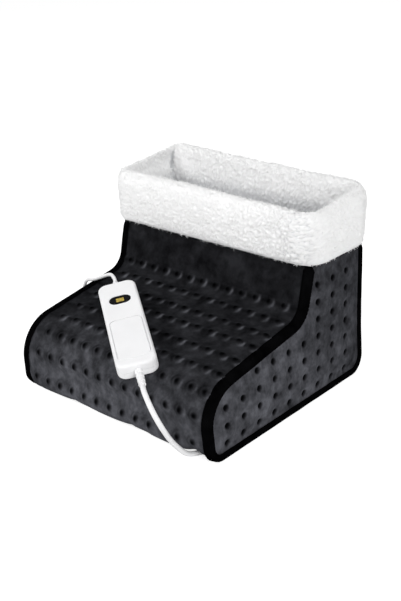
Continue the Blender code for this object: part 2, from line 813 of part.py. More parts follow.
def controller_frame():
    """An empty in the middle of the controller's underside, its Y towards the boot lead."""
    frame = bpy.data.objects.new("controller_frame", None)
    bpy.context.scene.collection.objects.link(frame)
    turn = (
        Matrix.Rotation(CONTROLLER_YAW, 4, "Z")
        @ Matrix.Rotation(CONTROLLER_PITCH, 4, "X")
        @ Matrix.Rotation(CONTROLLER_ROLL, 4, "Y")
    )
    instep = NOSE_HEIGHT + INSTEP_RISE * CONTROLLER_FROM_TOE / INSTEP_LENGTH
    face = instep + PANEL_CROWN + CONTROLLER_STANDOFF + CONTROLLER_HEIGHT
    centre = Matrix.Translation((CONTROLLER_X, TOE_Y + CONTROLLER_FROM_TOE, face))
    frame.matrix_world = centre @ turn @ Matrix.Translation((0.0, 0.0, -CONTROLLER_HEIGHT))
    return frame


def shell_ring(inset, height):
    half_x = CONTROLLER_WIDTH / 2 - inset
    half_y = CONTROLLER_LENGTH / 2 - inset
    radius = max(CONTROLLER_CORNER - inset, SHELL_WALL)
    return [Vector((x, y, height)) for x, y in rounded_rectangle(half_x, half_y, radius)]


def half_shell(name, parting, closed, edge_radius, finish, parent):
    """A cup with a rounded closed end: one half of the controller's housing."""
    way = math.copysign(1, closed - parting)
    shape = bmesh.new()

    def skin(inset, end, radius):
        rows = [shell_ring(inset, parting)]
        for k in range(4):
            angle = math.radians(30 * k)
            drawn = inset + radius * (1 - math.cos(angle))
            rows.append(shell_ring(drawn, end - way * radius * (1 - math.sin(angle))))
        made = [[shape.verts.new(p) for p in row] for row in rows]
        for low, high in zip(made, made[1:]):
            for i in range(len(low)):
                j = (i + 1) % len(low)
                shape.faces.new((low[i], low[j], high[j], high[i]))
        shape.faces.new(made[-1])
        return made[0]

    outer = skin(0.0, closed, edge_radius)
    inner = skin(SHELL_WALL, closed - way * SHELL_WALL, max(edge_radius - SHELL_WALL, SHELL_WALL / 2))
    for i in range(len(outer)):
        j = (i + 1) % len(outer)
        shape.faces.new((outer[i], outer[j], inner[j], inner[i]))
    return finish_mesh(name, shape, finish, parent)


def post_places():
    x = CONTROLLER_WIDTH / 2 - POST_SIDE_MARGIN
    y = CONTROLLER_LENGTH / 2 - POST_END_MARGIN
    return [(sign_x * x, sign_y * y) for sign_x in (-1, 1) for sign_y in (-1, 1)]


def joined(name, things, finish, parent):
    """One helper made of separate solids, for a Boolean."""
    shape = bmesh.new()
    for thing in things:
        shape.from_mesh(thing.data)
        bpy.data.objects.remove(thing, do_unlink=True)
    mesh = bpy.data.meshes.new(name)
    shape.to_mesh(mesh)
    shape.free()
    return cutter(add_object(name, mesh, finish, parent))


def along_y(place_y, height, way):
    """A frame whose Z runs along the controller's length, for what is turned about that line."""
    turn = Matrix.Rotation(math.radians(-90 * way), 4, "X")
    return Matrix.Translation((0.0, place_y, height)) @ turn


def controller(frame, white, glossy_black, amber, green, black, steel):
    top = CONTROLLER_HEIGHT
    half_length = CONTROLLER_LENGTH / 2
    parting = PARTING_HEIGHT + GAP / 2
    back = half_shell("controller_back_shell", parting - GAP / 2, 0.0, BACK_EDGE_RADIUS, white, frame)
    front = half_shell("controller_front_shell", parting + GAP / 2, top, FRONT_EDGE_RADIUS, white, frame)

    board_half_x = CONTROLLER_WIDTH / 2 - BOARD_MARGIN
    board_half_y = half_length - BOARD_END_MARGIN
    ribs = [
        box(f"rib_{k}", (-board_half_x, y - RIB_THICKNESS / 2, SHELL_WALL / 2),
            (board_half_x, y + RIB_THICKNESS / 2, BOARD_HEIGHT - GAP), white)
        for k, y in enumerate((-RIB_SPREAD, RIB_SPREAD))
    ]
    posts = [
        turned(f"post_{k}", [(BACK_POST_RADIUS, SHELL_WALL / 2), (BACK_POST_RADIUS, PARTING_HEIGHT)], white,
               Matrix.Translation((x, y, 0.0)))
        for k, (x, y) in enumerate(post_places())
    ]
    boolean(back, joined("back_posts_and_ribs", ribs + posts, white, frame), "UNION")
    sunk = SCREW_SINK + SCREW_HEAD_HEIGHT
    screw_end = sunk + SCREW_LENGTH
    hole_profile = [
        (SCREW_HEAD_RADIUS + GAP, -OVERRUN), (SCREW_HEAD_RADIUS + GAP, sunk + GAP),
        (SCREW_RADIUS + GAP, sunk + GAP), (SCREW_RADIUS + GAP, screw_end + GAP),
    ]
    holes = [
        turned(f"hole_{k}", hole_profile, white, Matrix.Translation((x, y, 0.0)))
        for k, (x, y) in enumerate(post_places())
    ]
    reliefs = (
        ("strain_relief_bottom", -1, BOTTOM_COLLAR_RADIUS, BOTTOM_NECK_RADIUS, BOTTOM_RELIEF_RADIUS,
         BOTTOM_RELIEF_LENGTH),
        ("strain_relief_top", 1, TOP_COLLAR_RADIUS, TOP_NECK_RADIUS, TOP_RELIEF_RADIUS,
         TOP_RELIEF_LENGTH),
    )
    mouths = []
    for name, way, collar, neck, radius, length in reliefs:
        at_wall = way * (half_length - SHELL_WALL)
        place = along_y(at_wall, parting, way)
        outside = SHELL_WALL + GAP
        profile = [(collar, -GAP - COLLAR_THICKNESS), (collar, -GAP), (neck, -GAP), (neck, outside)]
        profile += [(r, outside + h) for r, h in grooved(length, radius, radius * RELIEF_TIP_SHARE)]
        turned(name, profile, white, place, frame)
        mouths.append(
            turned(f"mouth_{name}", [(neck + GAP, -OVERRUN), (neck + GAP, SHELL_WALL + OVERRUN)], white, place)
        )
    boolean(back, joined("back_holes", holes + mouths, white, frame), "DIFFERENCE")

    front_posts = [
        turned(f"front_post_{k}", [(FRONT_POST_RADIUS, parting + GAP / 2), (FRONT_POST_RADIUS, top - SHELL_WALL / 2)],
               white, Matrix.Translation((x, y, 0.0)))
        for k, (x, y) in enumerate(post_places())
    ]
    boolean(front, joined("front_posts", front_posts, white, frame), "UNION")
    holes = [
        turned(f"hole_{k}", hole_profile, white, Matrix.Translation((x, y, 0.0)))
        for k, (x, y) in enumerate(post_places())
    ]
    mouths = []
    for name, way, collar, neck, radius, length in reliefs:
        place = along_y(way * (half_length - SHELL_WALL), parting, way)
        mouths.append(
            turned(f"mouth_{name}", [(neck + GAP, -OVERRUN), (neck + GAP, SHELL_WALL + OVERRUN)], white, place)
        )
    window_y = half_length - WINDOW_FROM_TOP
    window_shape = rounded_rectangle(WINDOW_WIDTH / 2, WINDOW_LENGTH / 2, WINDOW_LENGTH / 2 - GAP, 6)
    window_hole = rounded_rectangle(WINDOW_WIDTH / 2 + GAP, WINDOW_LENGTH / 2 + GAP, WINDOW_LENGTH / 2, 6)
    at_window = Matrix.Translation((0.0, window_y, 0.0))
    opening = prism("window_opening", window_hole, top - 2 * SHELL_WALL, top + OVERRUN, white, at_window)
    key_y = half_length - KEY_FROM_TOP - KEY_LENGTH / 2
    at_key = Matrix.Translation((0.0, key_y, 0.0))
    key_hole = rounded_rectangle(KEY_WIDTH / 2 + KEY_GAP, KEY_LENGTH / 2 + KEY_GAP, KEY_CORNER + KEY_GAP)
    key_opening = prism("key_opening", key_hole, top - 2 * SHELL_WALL, top + OVERRUN, white, at_key)
    boolean(front, joined("front_holes", holes + mouths + [opening, key_opening], white, frame), "DIFFERENCE")

    ceiling = top - SHELL_WALL
    flange_shape = rounded_rectangle(
        WINDOW_WIDTH / 2 + WINDOW_FLANGE, WINDOW_LENGTH / 2 + WINDOW_FLANGE, WINDOW_LENGTH / 2, 6)
    window_rings = []
    for shape, height in (
        (flange_shape, ceiling - GAP - WINDOW_FLANGE), (flange_shape, ceiling - GAP),
        (window_shape, ceiling - GAP), (window_shape, top - GAP),
    ):
        window_rings.append([at_window @ Vector((x, y, height)) for x, y in shape])
    window = loft("display_window", window_rings, glossy_black, frame)
    pocket_shape = rounded_rectangle(INDICATOR_WIDTH / 2 + GAP, INDICATOR_LENGTH / 2 + GAP, INDICATOR_DEPTH, 2)
    pocket = prism("indicator_pocket", pocket_shape, top - 2 * GAP - INDICATOR_DEPTH, top + OVERRUN, black,
                   at_window, frame)
    boolean(window, cutter(pocket), "DIFFERENCE")
    indicator_shape = rounded_rectangle(INDICATOR_WIDTH / 2, INDICATOR_LENGTH / 2, INDICATOR_DEPTH, 2)
    prism("level_indicator", indicator_shape, top - GAP - INDICATOR_DEPTH, top - GAP, amber, at_window, frame)

    flange_top = ceiling - GAP
    flange_bottom = flange_top - KEY_FLANGE_THICKNESS
    key_shape = rounded_rectangle(KEY_WIDTH / 2, KEY_LENGTH / 2, KEY_CORNER)
    key_edge = rounded_rectangle(KEY_WIDTH / 2 - KEY_FLANGE / 2, KEY_LENGTH / 2 - KEY_FLANGE / 2, KEY_CORNER)
    key_flange = rounded_rectangle(KEY_WIDTH / 2 + KEY_FLANGE, KEY_LENGTH / 2 + KEY_FLANGE, KEY_CORNER)
    key_rings = []
    for shape, height in (
        (key_flange, flange_bottom), (key_flange, flange_top), (key_shape, flange_top),
        (key_shape, top - KEY_FLANGE / 2), (key_edge, top),
    ):
        key_rings.append([at_key @ Vector((x, y, height)) for x, y in shape])
    key = loft("level_key", key_rings, white, frame)
    stem_end = flange_bottom - KEY_STEM_LENGTH
    stem_places = [(0.0, key_y + way * KEY_STEM_SPREAD) for way in (-1, 1)]
    stems = [
        turned(f"stem_{k}", [(KEY_STEM_RADIUS, stem_end), (KEY_STEM_RADIUS, flange_top)], white,
               Matrix.Translation((x, y, 0.0)))
        for k, (x, y) in enumerate(stem_places)
    ]
    boolean(key, joined("key_stems", stems, white, frame), "UNION")

    board_top = BOARD_HEIGHT + BOARD_THICKNESS
    box("controller_board", (-board_half_x, -board_half_y, BOARD_HEIGHT), (board_half_x, board_half_y, board_top),
        green, frame)
    switch_top = stem_end - KEY_TRAVEL - GAP
    for name, (x, y) in zip(("key_switch_lower", "key_switch_upper"), stem_places):
        body_top = board_top + GAP + (switch_top - board_top) * 0.7
        switch = box(name, (x - SWITCH_SIZE / 2, y - SWITCH_SIZE / 2, board_top + GAP),
                     (x + SWITCH_SIZE / 2, y + SWITCH_SIZE / 2, body_top), black, frame)
        plunger = turned(f"plunger_{name}", [(SWITCH_SIZE / 4, board_top + SWITCH_SIZE / 4), (SWITCH_SIZE / 4, switch_top)],
                         black, Matrix.Translation((x, y, 0.0)), frame, 12)
        boolean(switch, cutter(plunger), "UNION")
    box("display_module", (-MODULE_WIDTH / 2, window_y - MODULE_LENGTH / 2, board_top + GAP),
        (MODULE_WIDTH / 2, window_y + MODULE_LENGTH / 2, ceiling - 2 * GAP - WINDOW_FLANGE), black, frame)
    names = ("bottom_left", "top_left", "bottom_right", "top_right")
    screw_profile = [
        (SCREW_HEAD_RADIUS, SCREW_SINK), (SCREW_HEAD_RADIUS, sunk), (SCREW_RADIUS, sunk),
        (SCREW_RADIUS, screw_end - SCREW_RADIUS), (SCREW_RADIUS / 3, screw_end),
    ]
    for name, (x, y) in zip(names, post_places()):
        turned(f"controller_screw_{name}", screw_profile, steel, Matrix.Translation((x, y, 0.0)), frame, 12)


def relief_end(frame, way, length):
    """The middle of a strain relief's outer face, and the way out of it."""
    out = CONTROLLER_LENGTH / 2 + GAP + length
    height = PARTING_HEIGHT + GAP / 2
    tip = frame.matrix_world @ Vector((0.0, way * out, height))
    far = frame.matrix_world @ Vector((0.0, way * (out + MAINS_DIAMETER), height))
    return tip, (far - tip).normalized()


# Coil and plug

def coil_outer_radius():
    return COIL_INNER_RADIUS + (MAINS_DIAMETER + COIL_SPACING) * COIL_TURNS / 2


def coil_line():
    """The wound cord: two flat layers, spiralling in near the floor and out again on top."""
    pitch = MAINS_DIAMETER + COIL_SPACING
    half_turns = COIL_TURNS / 2
    floor = TIE_THICKNESS + 2 * GAP + MAINS_DIAMETER / 2
    count = round(COIL_TURNS * COIL_POINTS)
    points = []
    for k in range(count + 1):
        turn = COIL_TURNS * k / count
        radius = COIL_INNER_RADIUS + pitch * abs(half_turns - turn)
        height = floor + pitch * smooth((turn - half_turns) / COIL_LAYER_SHARE + 0.5)
        angle = 2 * math.pi * turn
        points.append(Vector((COIL_X + radius * math.cos(angle), COIL_Y + radius * math.sin(angle), height)))
    points.insert(0, points[0] - Vector((0.0, MAINS_DIAMETER, 0.0)))
    points.append(points[-1] - Vector((MAINS_DIAMETER, 0.0, 0.0)))
    gap = min(
        (points[i] - points[j]).length
        for i in range(len(points)) for j in range(i + COIL_POINTS // 2, len(points))
    ) - MAINS_DIAMETER
    length = sum((b - a).length for a, b in zip(points, points[1:]))
    print(f"mains_coil: {length * 1000:.0f} mm, least gap to itself {gap * 1000:.2f} mm")
    return points


def coil_tie(finish):
    """A strap round all the turns at one place of the coil."""
    pitch = MAINS_DIAMETER + COIL_SPACING
    middle = COIL_INNER_RADIUS + pitch * COIL_TURNS / 4
    half_x = pitch * COIL_TURNS / 4 + MAINS_DIAMETER / 2 + TIE_SLACK
    half_z = (MAINS_DIAMETER + pitch) / 2 + GAP
    height = TIE_THICKNESS + GAP + half_z
    turn = Matrix.Rotation(TIE_ANGLE, 4, "Z") @ Matrix.Rotation(math.radians(90), 4, "X")
    place = Matrix.Translation((COIL_X, COIL_Y, 0.0)) @ turn
    rings = []
    for grown, way in ((TIE_THICKNESS, -1), (TIE_THICKNESS, 1), (0.0, 1), (0.0, -1)):
        shape = rounded_rectangle(half_x + grown, half_z + grown, MAINS_DIAMETER / 2 + grown, 3)
        rings.append([place @ Vector((x + middle, z + height, way * TIE_WIDTH / 2)) for x, z in shape])
    return loft("coil_tie", rings, finish, round_trip=True)


def plug(white, steel):
    frame = bpy.data.objects.new("plug_frame", None)
    bpy.context.scene.collection.objects.link(frame)
    axis_height = PLUG_HEIGHT / 2 + GAP
    turn = Matrix.Rotation(math.radians(90), 4, "X")
    frame.matrix_world = Matrix.Translation((PLUG_X, PLUG_Y, axis_height)) @ turn
    body_shares = ((0.36, 0.80, 0.00), (0.52, 0.90, 0.16), (0.86, 1.00, 0.45), (1.00, 1.00, 0.62), (1.00, 1.00, 1.00))
    rings = []
    for width_share, height_share, along_share in body_shares:
        half_x = PLUG_WIDTH / 2 * width_share
        half_y = PLUG_HEIGHT / 2 * height_share
        ring = rounded_rectangle(half_x, half_y, half_y * 0.8, 4)
        rings.append([Vector((x, y, PLUG_LENGTH * along_share)) for x, y in ring])
    body = loft("plug_body", rings, white, frame)
    sockets = []
    for k, way in enumerate((-1, 1)):
        x = way * PIN_SPREAD / 2
        sockets.append(
            turned(f"socket_{k}", [(PIN_DIAMETER / 2 + GAP, PLUG_LENGTH - PIN_SEAT), (PIN_DIAMETER / 2 + GAP, PLUG_LENGTH + OVERRUN)],
                   white, Matrix.Translation((x, 0.0, 0.0)), None, 12)
        )
        start = PLUG_LENGTH - PIN_SEAT + GAP
        tip = PLUG_LENGTH + PIN_LENGTH
        profile = [(PIN_DIAMETER / 2, start), (PIN_DIAMETER / 2, tip - PIN_DIAMETER / 4), (PIN_DIAMETER / 4, tip)]
        name = "plug_pin_left" if way < 0 else "plug_pin_right"
        turned(name, profile, steel, Matrix.Translation((x, 0.0, 0.0)), frame, 12)
    boolean(body, joined("plug_sockets", sockets, white, frame), "DIFFERENCE")
    flip = Matrix.Rotation(math.radians(180), 4, "X")
    tip_radius = MAINS_DIAMETER / 2 + SHELL_WALL / 4
    relief = [(r, GAP + h) for r, h in grooved(PLUG_RELIEF_LENGTH, PLUG_HEIGHT * 0.36, tip_radius)]
    turned("plug_relief", relief, white, flip, frame)
    return frame


# Building it all

def main():
    clear_scene()
    velvet = material("charcoal_velvet", (0.030, 0.031, 0.035), 0.85)
    band_velvet = material("plain_velvet", (0.018, 0.018, 0.020), 0.85)
    tape = material("binding_tape", (0.008, 0.008, 0.009), 0.70)
    sole_cloth = material("sole_cloth", (0.020, 0.020, 0.022), 0.90)
    fleece = material("white_fleece", (0.82, 0.82, 0.83), 0.95)
    foam = material("foam", (0.60, 0.60, 0.58), 0.95)
    felt = material("heater_felt", (0.70, 0.68, 0.64), 0.95)
    wire = material("heating_wire", (0.55, 0.10, 0.08), 0.50)
    white = material("white_plastic", (0.83, 0.84, 0.85), 0.35)
    white_lead = material("white_lead", (0.80, 0.81, 0.82), 0.45)
    glossy_black = material("black_window", (0.006, 0.006, 0.007), 0.06)
    amber = material("amber_display", (0.80, 0.55, 0.03), 0.30)
    green = material("circuit_board", (0.03, 0.16, 0.06), 0.50)
    black = material("black_plastic", (0.02, 0.02, 0.02), 0.50)
    steel = material("plated_metal", (0.62, 0.62, 0.63), 0.25, 1.0)

    front_start = SEAM_STATION + GAP / 2
    front_end = TOE_STATION - GAP / 2
    front_rows = []
    while front_start + ROW_MARGIN + ROW_PITCH * len(front_rows) < front_end - ROW_MARGIN * 2:
        front_rows.append(front_start + ROW_MARGIN + ROW_PITCH * len(front_rows))
    quilted_strip("front_panel", front_start, front_end, front_rows, [], velvet)
    plain_strip("neck_band", 0.0, SEAM_STATION - GAP / 2, 0.0, PANEL_THICKNESS, band_velvet, 6, True)
    plain_strip("sole_panel", TOE_STATION + GAP / 2, HEEL_STATION - GAP / 2, 0.0, SOLE_THICKNESS, sole_cloth)
    back_start = HEEL_STATION + GAP / 2
    back_rows = []
    knees = [STRIP.find(lambda p: p.y > height, back_start) for height in (KNEE_HEIGHT, KNEE_TOP)]
    while back_start + ROW_MARGIN * 2 + ROW_PITCH * len(back_rows) < knees[0] - ROW_MARGIN:
        back_rows.append(back_start + ROW_MARGIN * 2 + ROW_PITCH * len(back_rows))
    quilted_strip("back_panel", back_start, RIM_STATION, back_rows, knees, velvet)
    left_panel = side_panel("side_panel_left", -1, velvet)
    side_panel("side_panel_right", 1, velvet)
    binding("binding_left", -1, tape)
    binding("binding_right", 1, tape)
    cuff(fleece)

    lining_front = STRIP.find(lambda p: p.y < LINING_TOP)
    lining_toe = STRIP.find(lambda p: p.y < LINING_BOTTOM + 2 * GAP)
    plain_strip("lining_front", lining_front, lining_toe, LINING_OUT, LINING_IN, fleece)
    lining_heel = STRIP.find(lambda p: p.y > LINING_BOTTOM, HEEL_STATION)
    lining_back = STRIP.find(lambda p: p.y > LINING_TOP, lining_heel)
    plain_strip("lining_back", lining_heel, lining_back, LINING_OUT, LINING_IN, fleece)
    side_lining("lining_left", -1, fleece)
    side_lining("lining_right", 1, fleece)
    wall_in = PANEL_SET_IN + PANEL_THICKNESS + GAP
    box("lining_sole", (-STRIP_HALF, TOE_Y + TOE_LEAN + wall_in, FOOTBED_BOTTOM),
        (STRIP_HALF, HEEL_Y - wall_in - BACK_LEAN, LINING_BOTTOM - GAP), fleece, None, FELT_THICKNESS)

    foam_low = Vector((-STRIP_HALF + FOAM_INSET, TOE_Y + TOE_LEAN + TOE_RADIUS, FOAM_BOTTOM))
    foam_high = Vector((STRIP_HALF - FOAM_INSET, HEEL_Y - HEEL_RADIUS, FOAM_BOTTOM + FOAM_THICKNESS))
    box("sole_foam", foam_low, foam_high, foam)
    margin = Vector((FELT_MARGIN, FELT_MARGIN, 0.0))
    felt_low = Vector((foam_low.x, foam_low.y, FELT_BOTTOM)) + margin
    felt_high = Vector((foam_high.x, foam_high.y, FELT_BOTTOM + FELT_THICKNESS)) - margin
    box("heater_felt", felt_low, felt_high, felt)

    thermostat_low = Vector((
        felt_low.x + WIRE_MARGIN, felt_high.y - WIRE_MARGIN / 2 - THERMOSTAT_WIDTH, felt_high.z + GAP))
    thermostat_high = thermostat_low + Vector((THERMOSTAT_LENGTH, THERMOSTAT_WIDTH, THERMOSTAT_HEIGHT))
    box("thermostat", thermostat_low, thermostat_high, black, None, WIRE_DIAMETER / 4)
    wire_low = felt_low + Vector((WIRE_MARGIN, WIRE_MARGIN, 0.0))
    wire_high = felt_high - Vector((WIRE_MARGIN, WIRE_MARGIN + THERMOSTAT_WIDTH, 0.0))
    pitch = (wire_high.y - wire_low.y) / (WIRE_RUNS - 1)
    bend = pitch / 2
    wire_line = [Vector((thermostat_high.x + GAP, (thermostat_low.y + thermostat_high.y) / 2, WIRE_HEIGHT))]
    entry_y = wire_line[0].y
    for run in range(WIRE_RUNS):
        y = wire_high.y - pitch * run
        way = -1 if run % 2 == 0 else 1
        far_x = wire_low.x + bend if way < 0 else wire_high.x - bend
        near_x = wire_high.x - bend if way < 0 else wire_low.x + bend
        if run == 0:
            turn_radius = (entry_y - y) / 2
            for k in range(7):
                angle = math.radians(90 - 30 * k)
                wire_line.append(Vector((
                    wire_high.x - bend + turn_radius * math.cos(angle), y + turn_radius + turn_radius * math.sin(angle),
                    WIRE_HEIGHT)))
        else:
            wire_line.append(Vector((near_x, y, WIRE_HEIGHT)))
        wire_line.append(Vector((far_x, y, WIRE_HEIGHT)))
        if run < WIRE_RUNS - 1:
            for k in range(1, 6):
                angle = math.radians(90 - 30 * k)
                wire_line.append(Vector((far_x + way * bend * math.cos(angle), y - bend + bend * math.sin(angle), WIRE_HEIGHT)))
    tube("heating_wire", wire_line, WIRE_DIAMETER, wire, 0)

    gland_x = -(HALF - PANEL_SET_IN - squeezed(GLAND_HEIGHT)) - GAP
    gland_place = Matrix.Translation((gland_x, GLAND_Y, GLAND_HEIGHT)) @ Matrix.Rotation(math.radians(-90), 4, "Y")
    shank = GAP + BINDING_WIDTH - PANEL_SET_IN + GAP
    gland_profile = [
        (GLAND_SHANK_RADIUS, -shank), (GLAND_SHANK_RADIUS, 0.0), (GLAND_FLANGE_RADIUS, 0.0),
        (GLAND_FLANGE_RADIUS, GLAND_FLANGE_THICKNESS),
    ]
    gland_profile += [
        (r, GLAND_FLANGE_THICKNESS + h)
        for r, h in grooved(GLAND_SLEEVE_LENGTH, GLAND_SLEEVE_RADIUS, BOOT_LEAD_DIAMETER / 2 + SHELL_WALL / 4)
    ]
    turned("lead_gland", gland_profile, black, gland_place)
    hole = turned("gland_hole", [(GLAND_SHANK_RADIUS + GAP, -shank - OVERRUN * 2), (GLAND_SHANK_RADIUS + GAP, OVERRUN * 2)],
                  black, gland_place)
    boolean(left_panel, cutter(hole), "DIFFERENCE")

    frame = controller_frame()
    bpy.context.view_layer.update()
    controller(frame, white, glossy_black, amber, green, black, steel)

    bottom_tip, bottom_way = relief_end(frame, -1, BOTTOM_RELIEF_LENGTH)
    coil = coil_line()
    coil_tie(black)
    mains_points = [bottom_tip + bottom_way * GAP, bottom_tip + bottom_way * MAINS_DIAMETER * 2.5]
    mains_points += [Vector(p) for p in (
        (0.1110, -0.1879, 0.0735), (0.1211, -0.1846, 0.0545), (0.1188, -0.1673, 0.0284), (0.1212, -0.1492, 0.0078),
        (0.1260, -0.1329, 0.0034), (0.1325, -0.1163, 0.0034), (0.1335, -0.0932, 0.0032), (0.1280, -0.0720, 0.0032),
        (0.1160, -0.0250, 0.0032), (0.0990, 0.0250, 0.0032), (0.0810, 0.0750, 0.0032), (0.0640, 0.1200, 0.0032),
        (0.0505, 0.1600, 0.0032),
    )]
    coil_start = coil[0]
    mains_points += [coil_start - Vector((0.0, MAINS_DIAMETER * 2, 0.0)), coil_start - Vector((0.0, GAP, 0.0))]
    lead("mains_lead", mains_points, MAINS_DIAMETER, white_lead)
    tube("mains_coil", coil, MAINS_DIAMETER, white_lead, 1)

    plug_frame = plug(white, steel)
    bpy.context.view_layer.update()
    relief_tip = plug_frame.matrix_world @ Vector((0.0, 0.0, -GAP - PLUG_RELIEF_LENGTH - GAP))
    coil_end = coil[-1]
    tail_points = [
        coil_end - Vector((GAP, 0.0, 0.0)), coil_end - Vector((MAINS_DIAMETER * 3, 0.0, GAP)),
        Vector((-0.0400, 0.2640, 0.0062)), Vector((-0.0620, 0.2690, 0.0040)),
        Vector((-0.0790, 0.2620, 0.0048)),
        relief_tip + Vector((0.0, MAINS_DIAMETER * 1.5, 0.0)), relief_tip,
    ]
    lead("plug_tail", tail_points, MAINS_DIAMETER, white_lead)

    top_tip, top_way = relief_end(frame, 1, TOP_RELIEF_LENGTH)
    gland_tip = Vector((gland_x - GLAND_FLANGE_THICKNESS - GLAND_SLEEVE_LENGTH - GAP, GLAND_Y, GLAND_HEIGHT))
    boot_points = [top_tip + top_way * GAP, top_tip + top_way * BOOT_LEAD_DIAMETER * 2.5]
    boot_points += [Vector(p) for p in (
        (-0.1090, -0.0322, 0.1248), (-0.1350, -0.0329, 0.1130), (-0.1579, -0.0297, 0.1025), (-0.1738, -0.0213, 0.0678),
        (-0.1740, -0.0109, 0.0371), (-0.1759, 0.0082, 0.0090), (-0.1796, 0.0306, 0.0028), (-0.1904, 0.0526, 0.0034),
        (-0.2022, 0.0870, 0.0095), (-0.1930, 0.1065, 0.0160),
    )]
    boot_points += [gland_tip - Vector((BOOT_LEAD_DIAMETER * 2.5, 0.0, 0.0)), gland_tip]
    lead("boot_lead", boot_points, BOOT_LEAD_DIAMETER, white_lead)

    for thing in bpy.data.objects:
        if thing.parent is None:
            thing.location.y += FOOTPRINT_SHIFT


if __name__ == "__main__":
    main()
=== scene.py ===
# %% [markdown]
# # An electric foot warmer, dressed for its picture
#
# The rigid model of this foot warmer is already built and packed. It comes in as a fixed frame,
# and every soft piece here is laid exactly where the frame says. The controller, the plug and the
# parts inside stay as the frame has them and only get a finish. The order is: frame, sizes,
# camera, outline, finishes, quilted panels, sole, binding tape, fleece cuff, stitches, lining,
# leads, floor and light.

# %% Load the frame
import json
import math

import bmesh
import bpy
import numpy as np
from mathutils import Matrix, Vector, noise
from mathutils.geometry import delaunay_2d_cdt


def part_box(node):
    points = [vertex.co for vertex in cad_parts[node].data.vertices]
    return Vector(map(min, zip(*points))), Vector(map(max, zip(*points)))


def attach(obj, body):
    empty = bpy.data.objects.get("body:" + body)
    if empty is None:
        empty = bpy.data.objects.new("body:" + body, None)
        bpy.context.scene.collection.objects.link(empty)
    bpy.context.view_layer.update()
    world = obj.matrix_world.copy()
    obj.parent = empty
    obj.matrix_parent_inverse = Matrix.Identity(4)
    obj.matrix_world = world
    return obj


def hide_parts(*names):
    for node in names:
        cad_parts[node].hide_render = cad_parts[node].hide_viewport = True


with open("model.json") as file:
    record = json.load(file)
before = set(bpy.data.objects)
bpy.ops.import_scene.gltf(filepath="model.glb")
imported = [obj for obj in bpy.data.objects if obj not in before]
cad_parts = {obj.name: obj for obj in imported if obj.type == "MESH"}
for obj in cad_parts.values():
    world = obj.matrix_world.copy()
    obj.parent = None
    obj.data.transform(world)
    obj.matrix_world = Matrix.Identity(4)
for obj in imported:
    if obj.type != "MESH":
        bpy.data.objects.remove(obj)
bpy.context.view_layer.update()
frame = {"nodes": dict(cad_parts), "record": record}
scene = bpy.context.scene

# %% [markdown]
# ## Sizes
#
# These are the sizes of the real boot in metres: a boot 300 mm wide, seen from the side as an
# outline with rounded toe and heel, and padded panels sewn between two bound side edges. The
# outline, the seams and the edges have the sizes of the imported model. All the cloth below is
# drawn from these few numbers.

# %% Sizes of the boot
MM = 0.001
FOOTPRINT_SHIFT = 5.09 * MM
HALF = 150 * MM
TOE_Y, HEEL_Y = -150.25 * MM, 150.25 * MM
NOSE_HEIGHT = 84.7 * MM
NECK_FOOT = Vector((24.25 * MM, 112.6 * MM))
KNEE_HEIGHT, KNEE_TOP, SHELL_HEIGHT = 164 * MM, 184 * MM, 222 * MM
NECK_KNEE_Y, NECK_TOP_Y = 36.25 * MM, 44.25 * MM
BACK_KNEE_Y, BACK_TOP_Y = 147.75 * MM, 143.75 * MM
SQUEEZE, SPREAD, SPREAD_HEIGHT, TOE_LEAN = 4 * MM, 4 * MM, 105 * MM, 4.5 * MM
TOE_RADIUS, NOSE_RADIUS, NECK_RADIUS, HEEL_RADIUS = 20 * MM, 50 * MM, 25 * MM, 24 * MM
SEAM_HEIGHT = 126.6 * MM
BINDING_WIDTH, BINDING_DEPTH, GAP = 7.5 * MM, 7.0 * MM, 0.3 * MM
PANEL_SET_IN, PANEL_THICKNESS = 1.5 * MM, 6.0 * MM
PANEL_CROWN, CROWN_RUN, CROWN_TOP, CROWN_FADE = 5.0 * MM, 40 * MM, 144 * MM, 20 * MM
DOT_DEPTH, DOT_PITCH, ROW_PITCH, ROW_MARGIN = 2.4 * MM, 20.8 * MM, 26.8 * MM, 8.0 * MM
SIDE_PITCH, SIDE_RISE, SIDE_FIRST, SIDE_MARGIN = 28.4 * MM, 21.6 * MM, 34.5 * MM, 7.8 * MM
SOLE_CLEARANCE, SOLE_THICKNESS = 6.6 * MM, 5.0 * MM
LINING_THICKNESS, LINING_TOP, FOOTBED_TOP = 6.0 * MM, 160 * MM, 37.3 * MM
STRIP_HALF = HALF - BINDING_WIDTH - GAP
SIDE_INSET = BINDING_DEPTH + GAP
LINING_OUT = PANEL_THICKNESS + GAP
SOLE_EDGE = 5
STRIP_TURN, EDGE_TURN, LINING_TURN = math.radians(3), math.radians(4), math.radians(5)
SHARP = math.radians(60)

# %% [markdown]
# ## Camera
#
# The picture is taken from the front right, a little above the boot, through a 60 mm lens.
# The camera comes first, so that each piece can be looked at from it as it is made. Its place
# was solved from the corners of the boot, whose real sizes are known.

# %% Place the camera
AZIMUTH, ELEVATION, ROLL = math.radians(41.867), math.radians(23.293), math.radians(-2.0)
DISTANCE, SLIDE_RIGHT, SLIDE_UP = 1.2290, 0.002776, -0.020328
LENS, SENSOR_WIDTH = 60.0, 36.0
AIM = Vector((0.0, 12.4 * MM + FOOTPRINT_SHIFT, 124 * MM))


def placed(name, data):
    """A new object that holds this data, in the scene."""
    made = bpy.data.objects.new(name, data)
    scene.collection.objects.link(made)
    return made


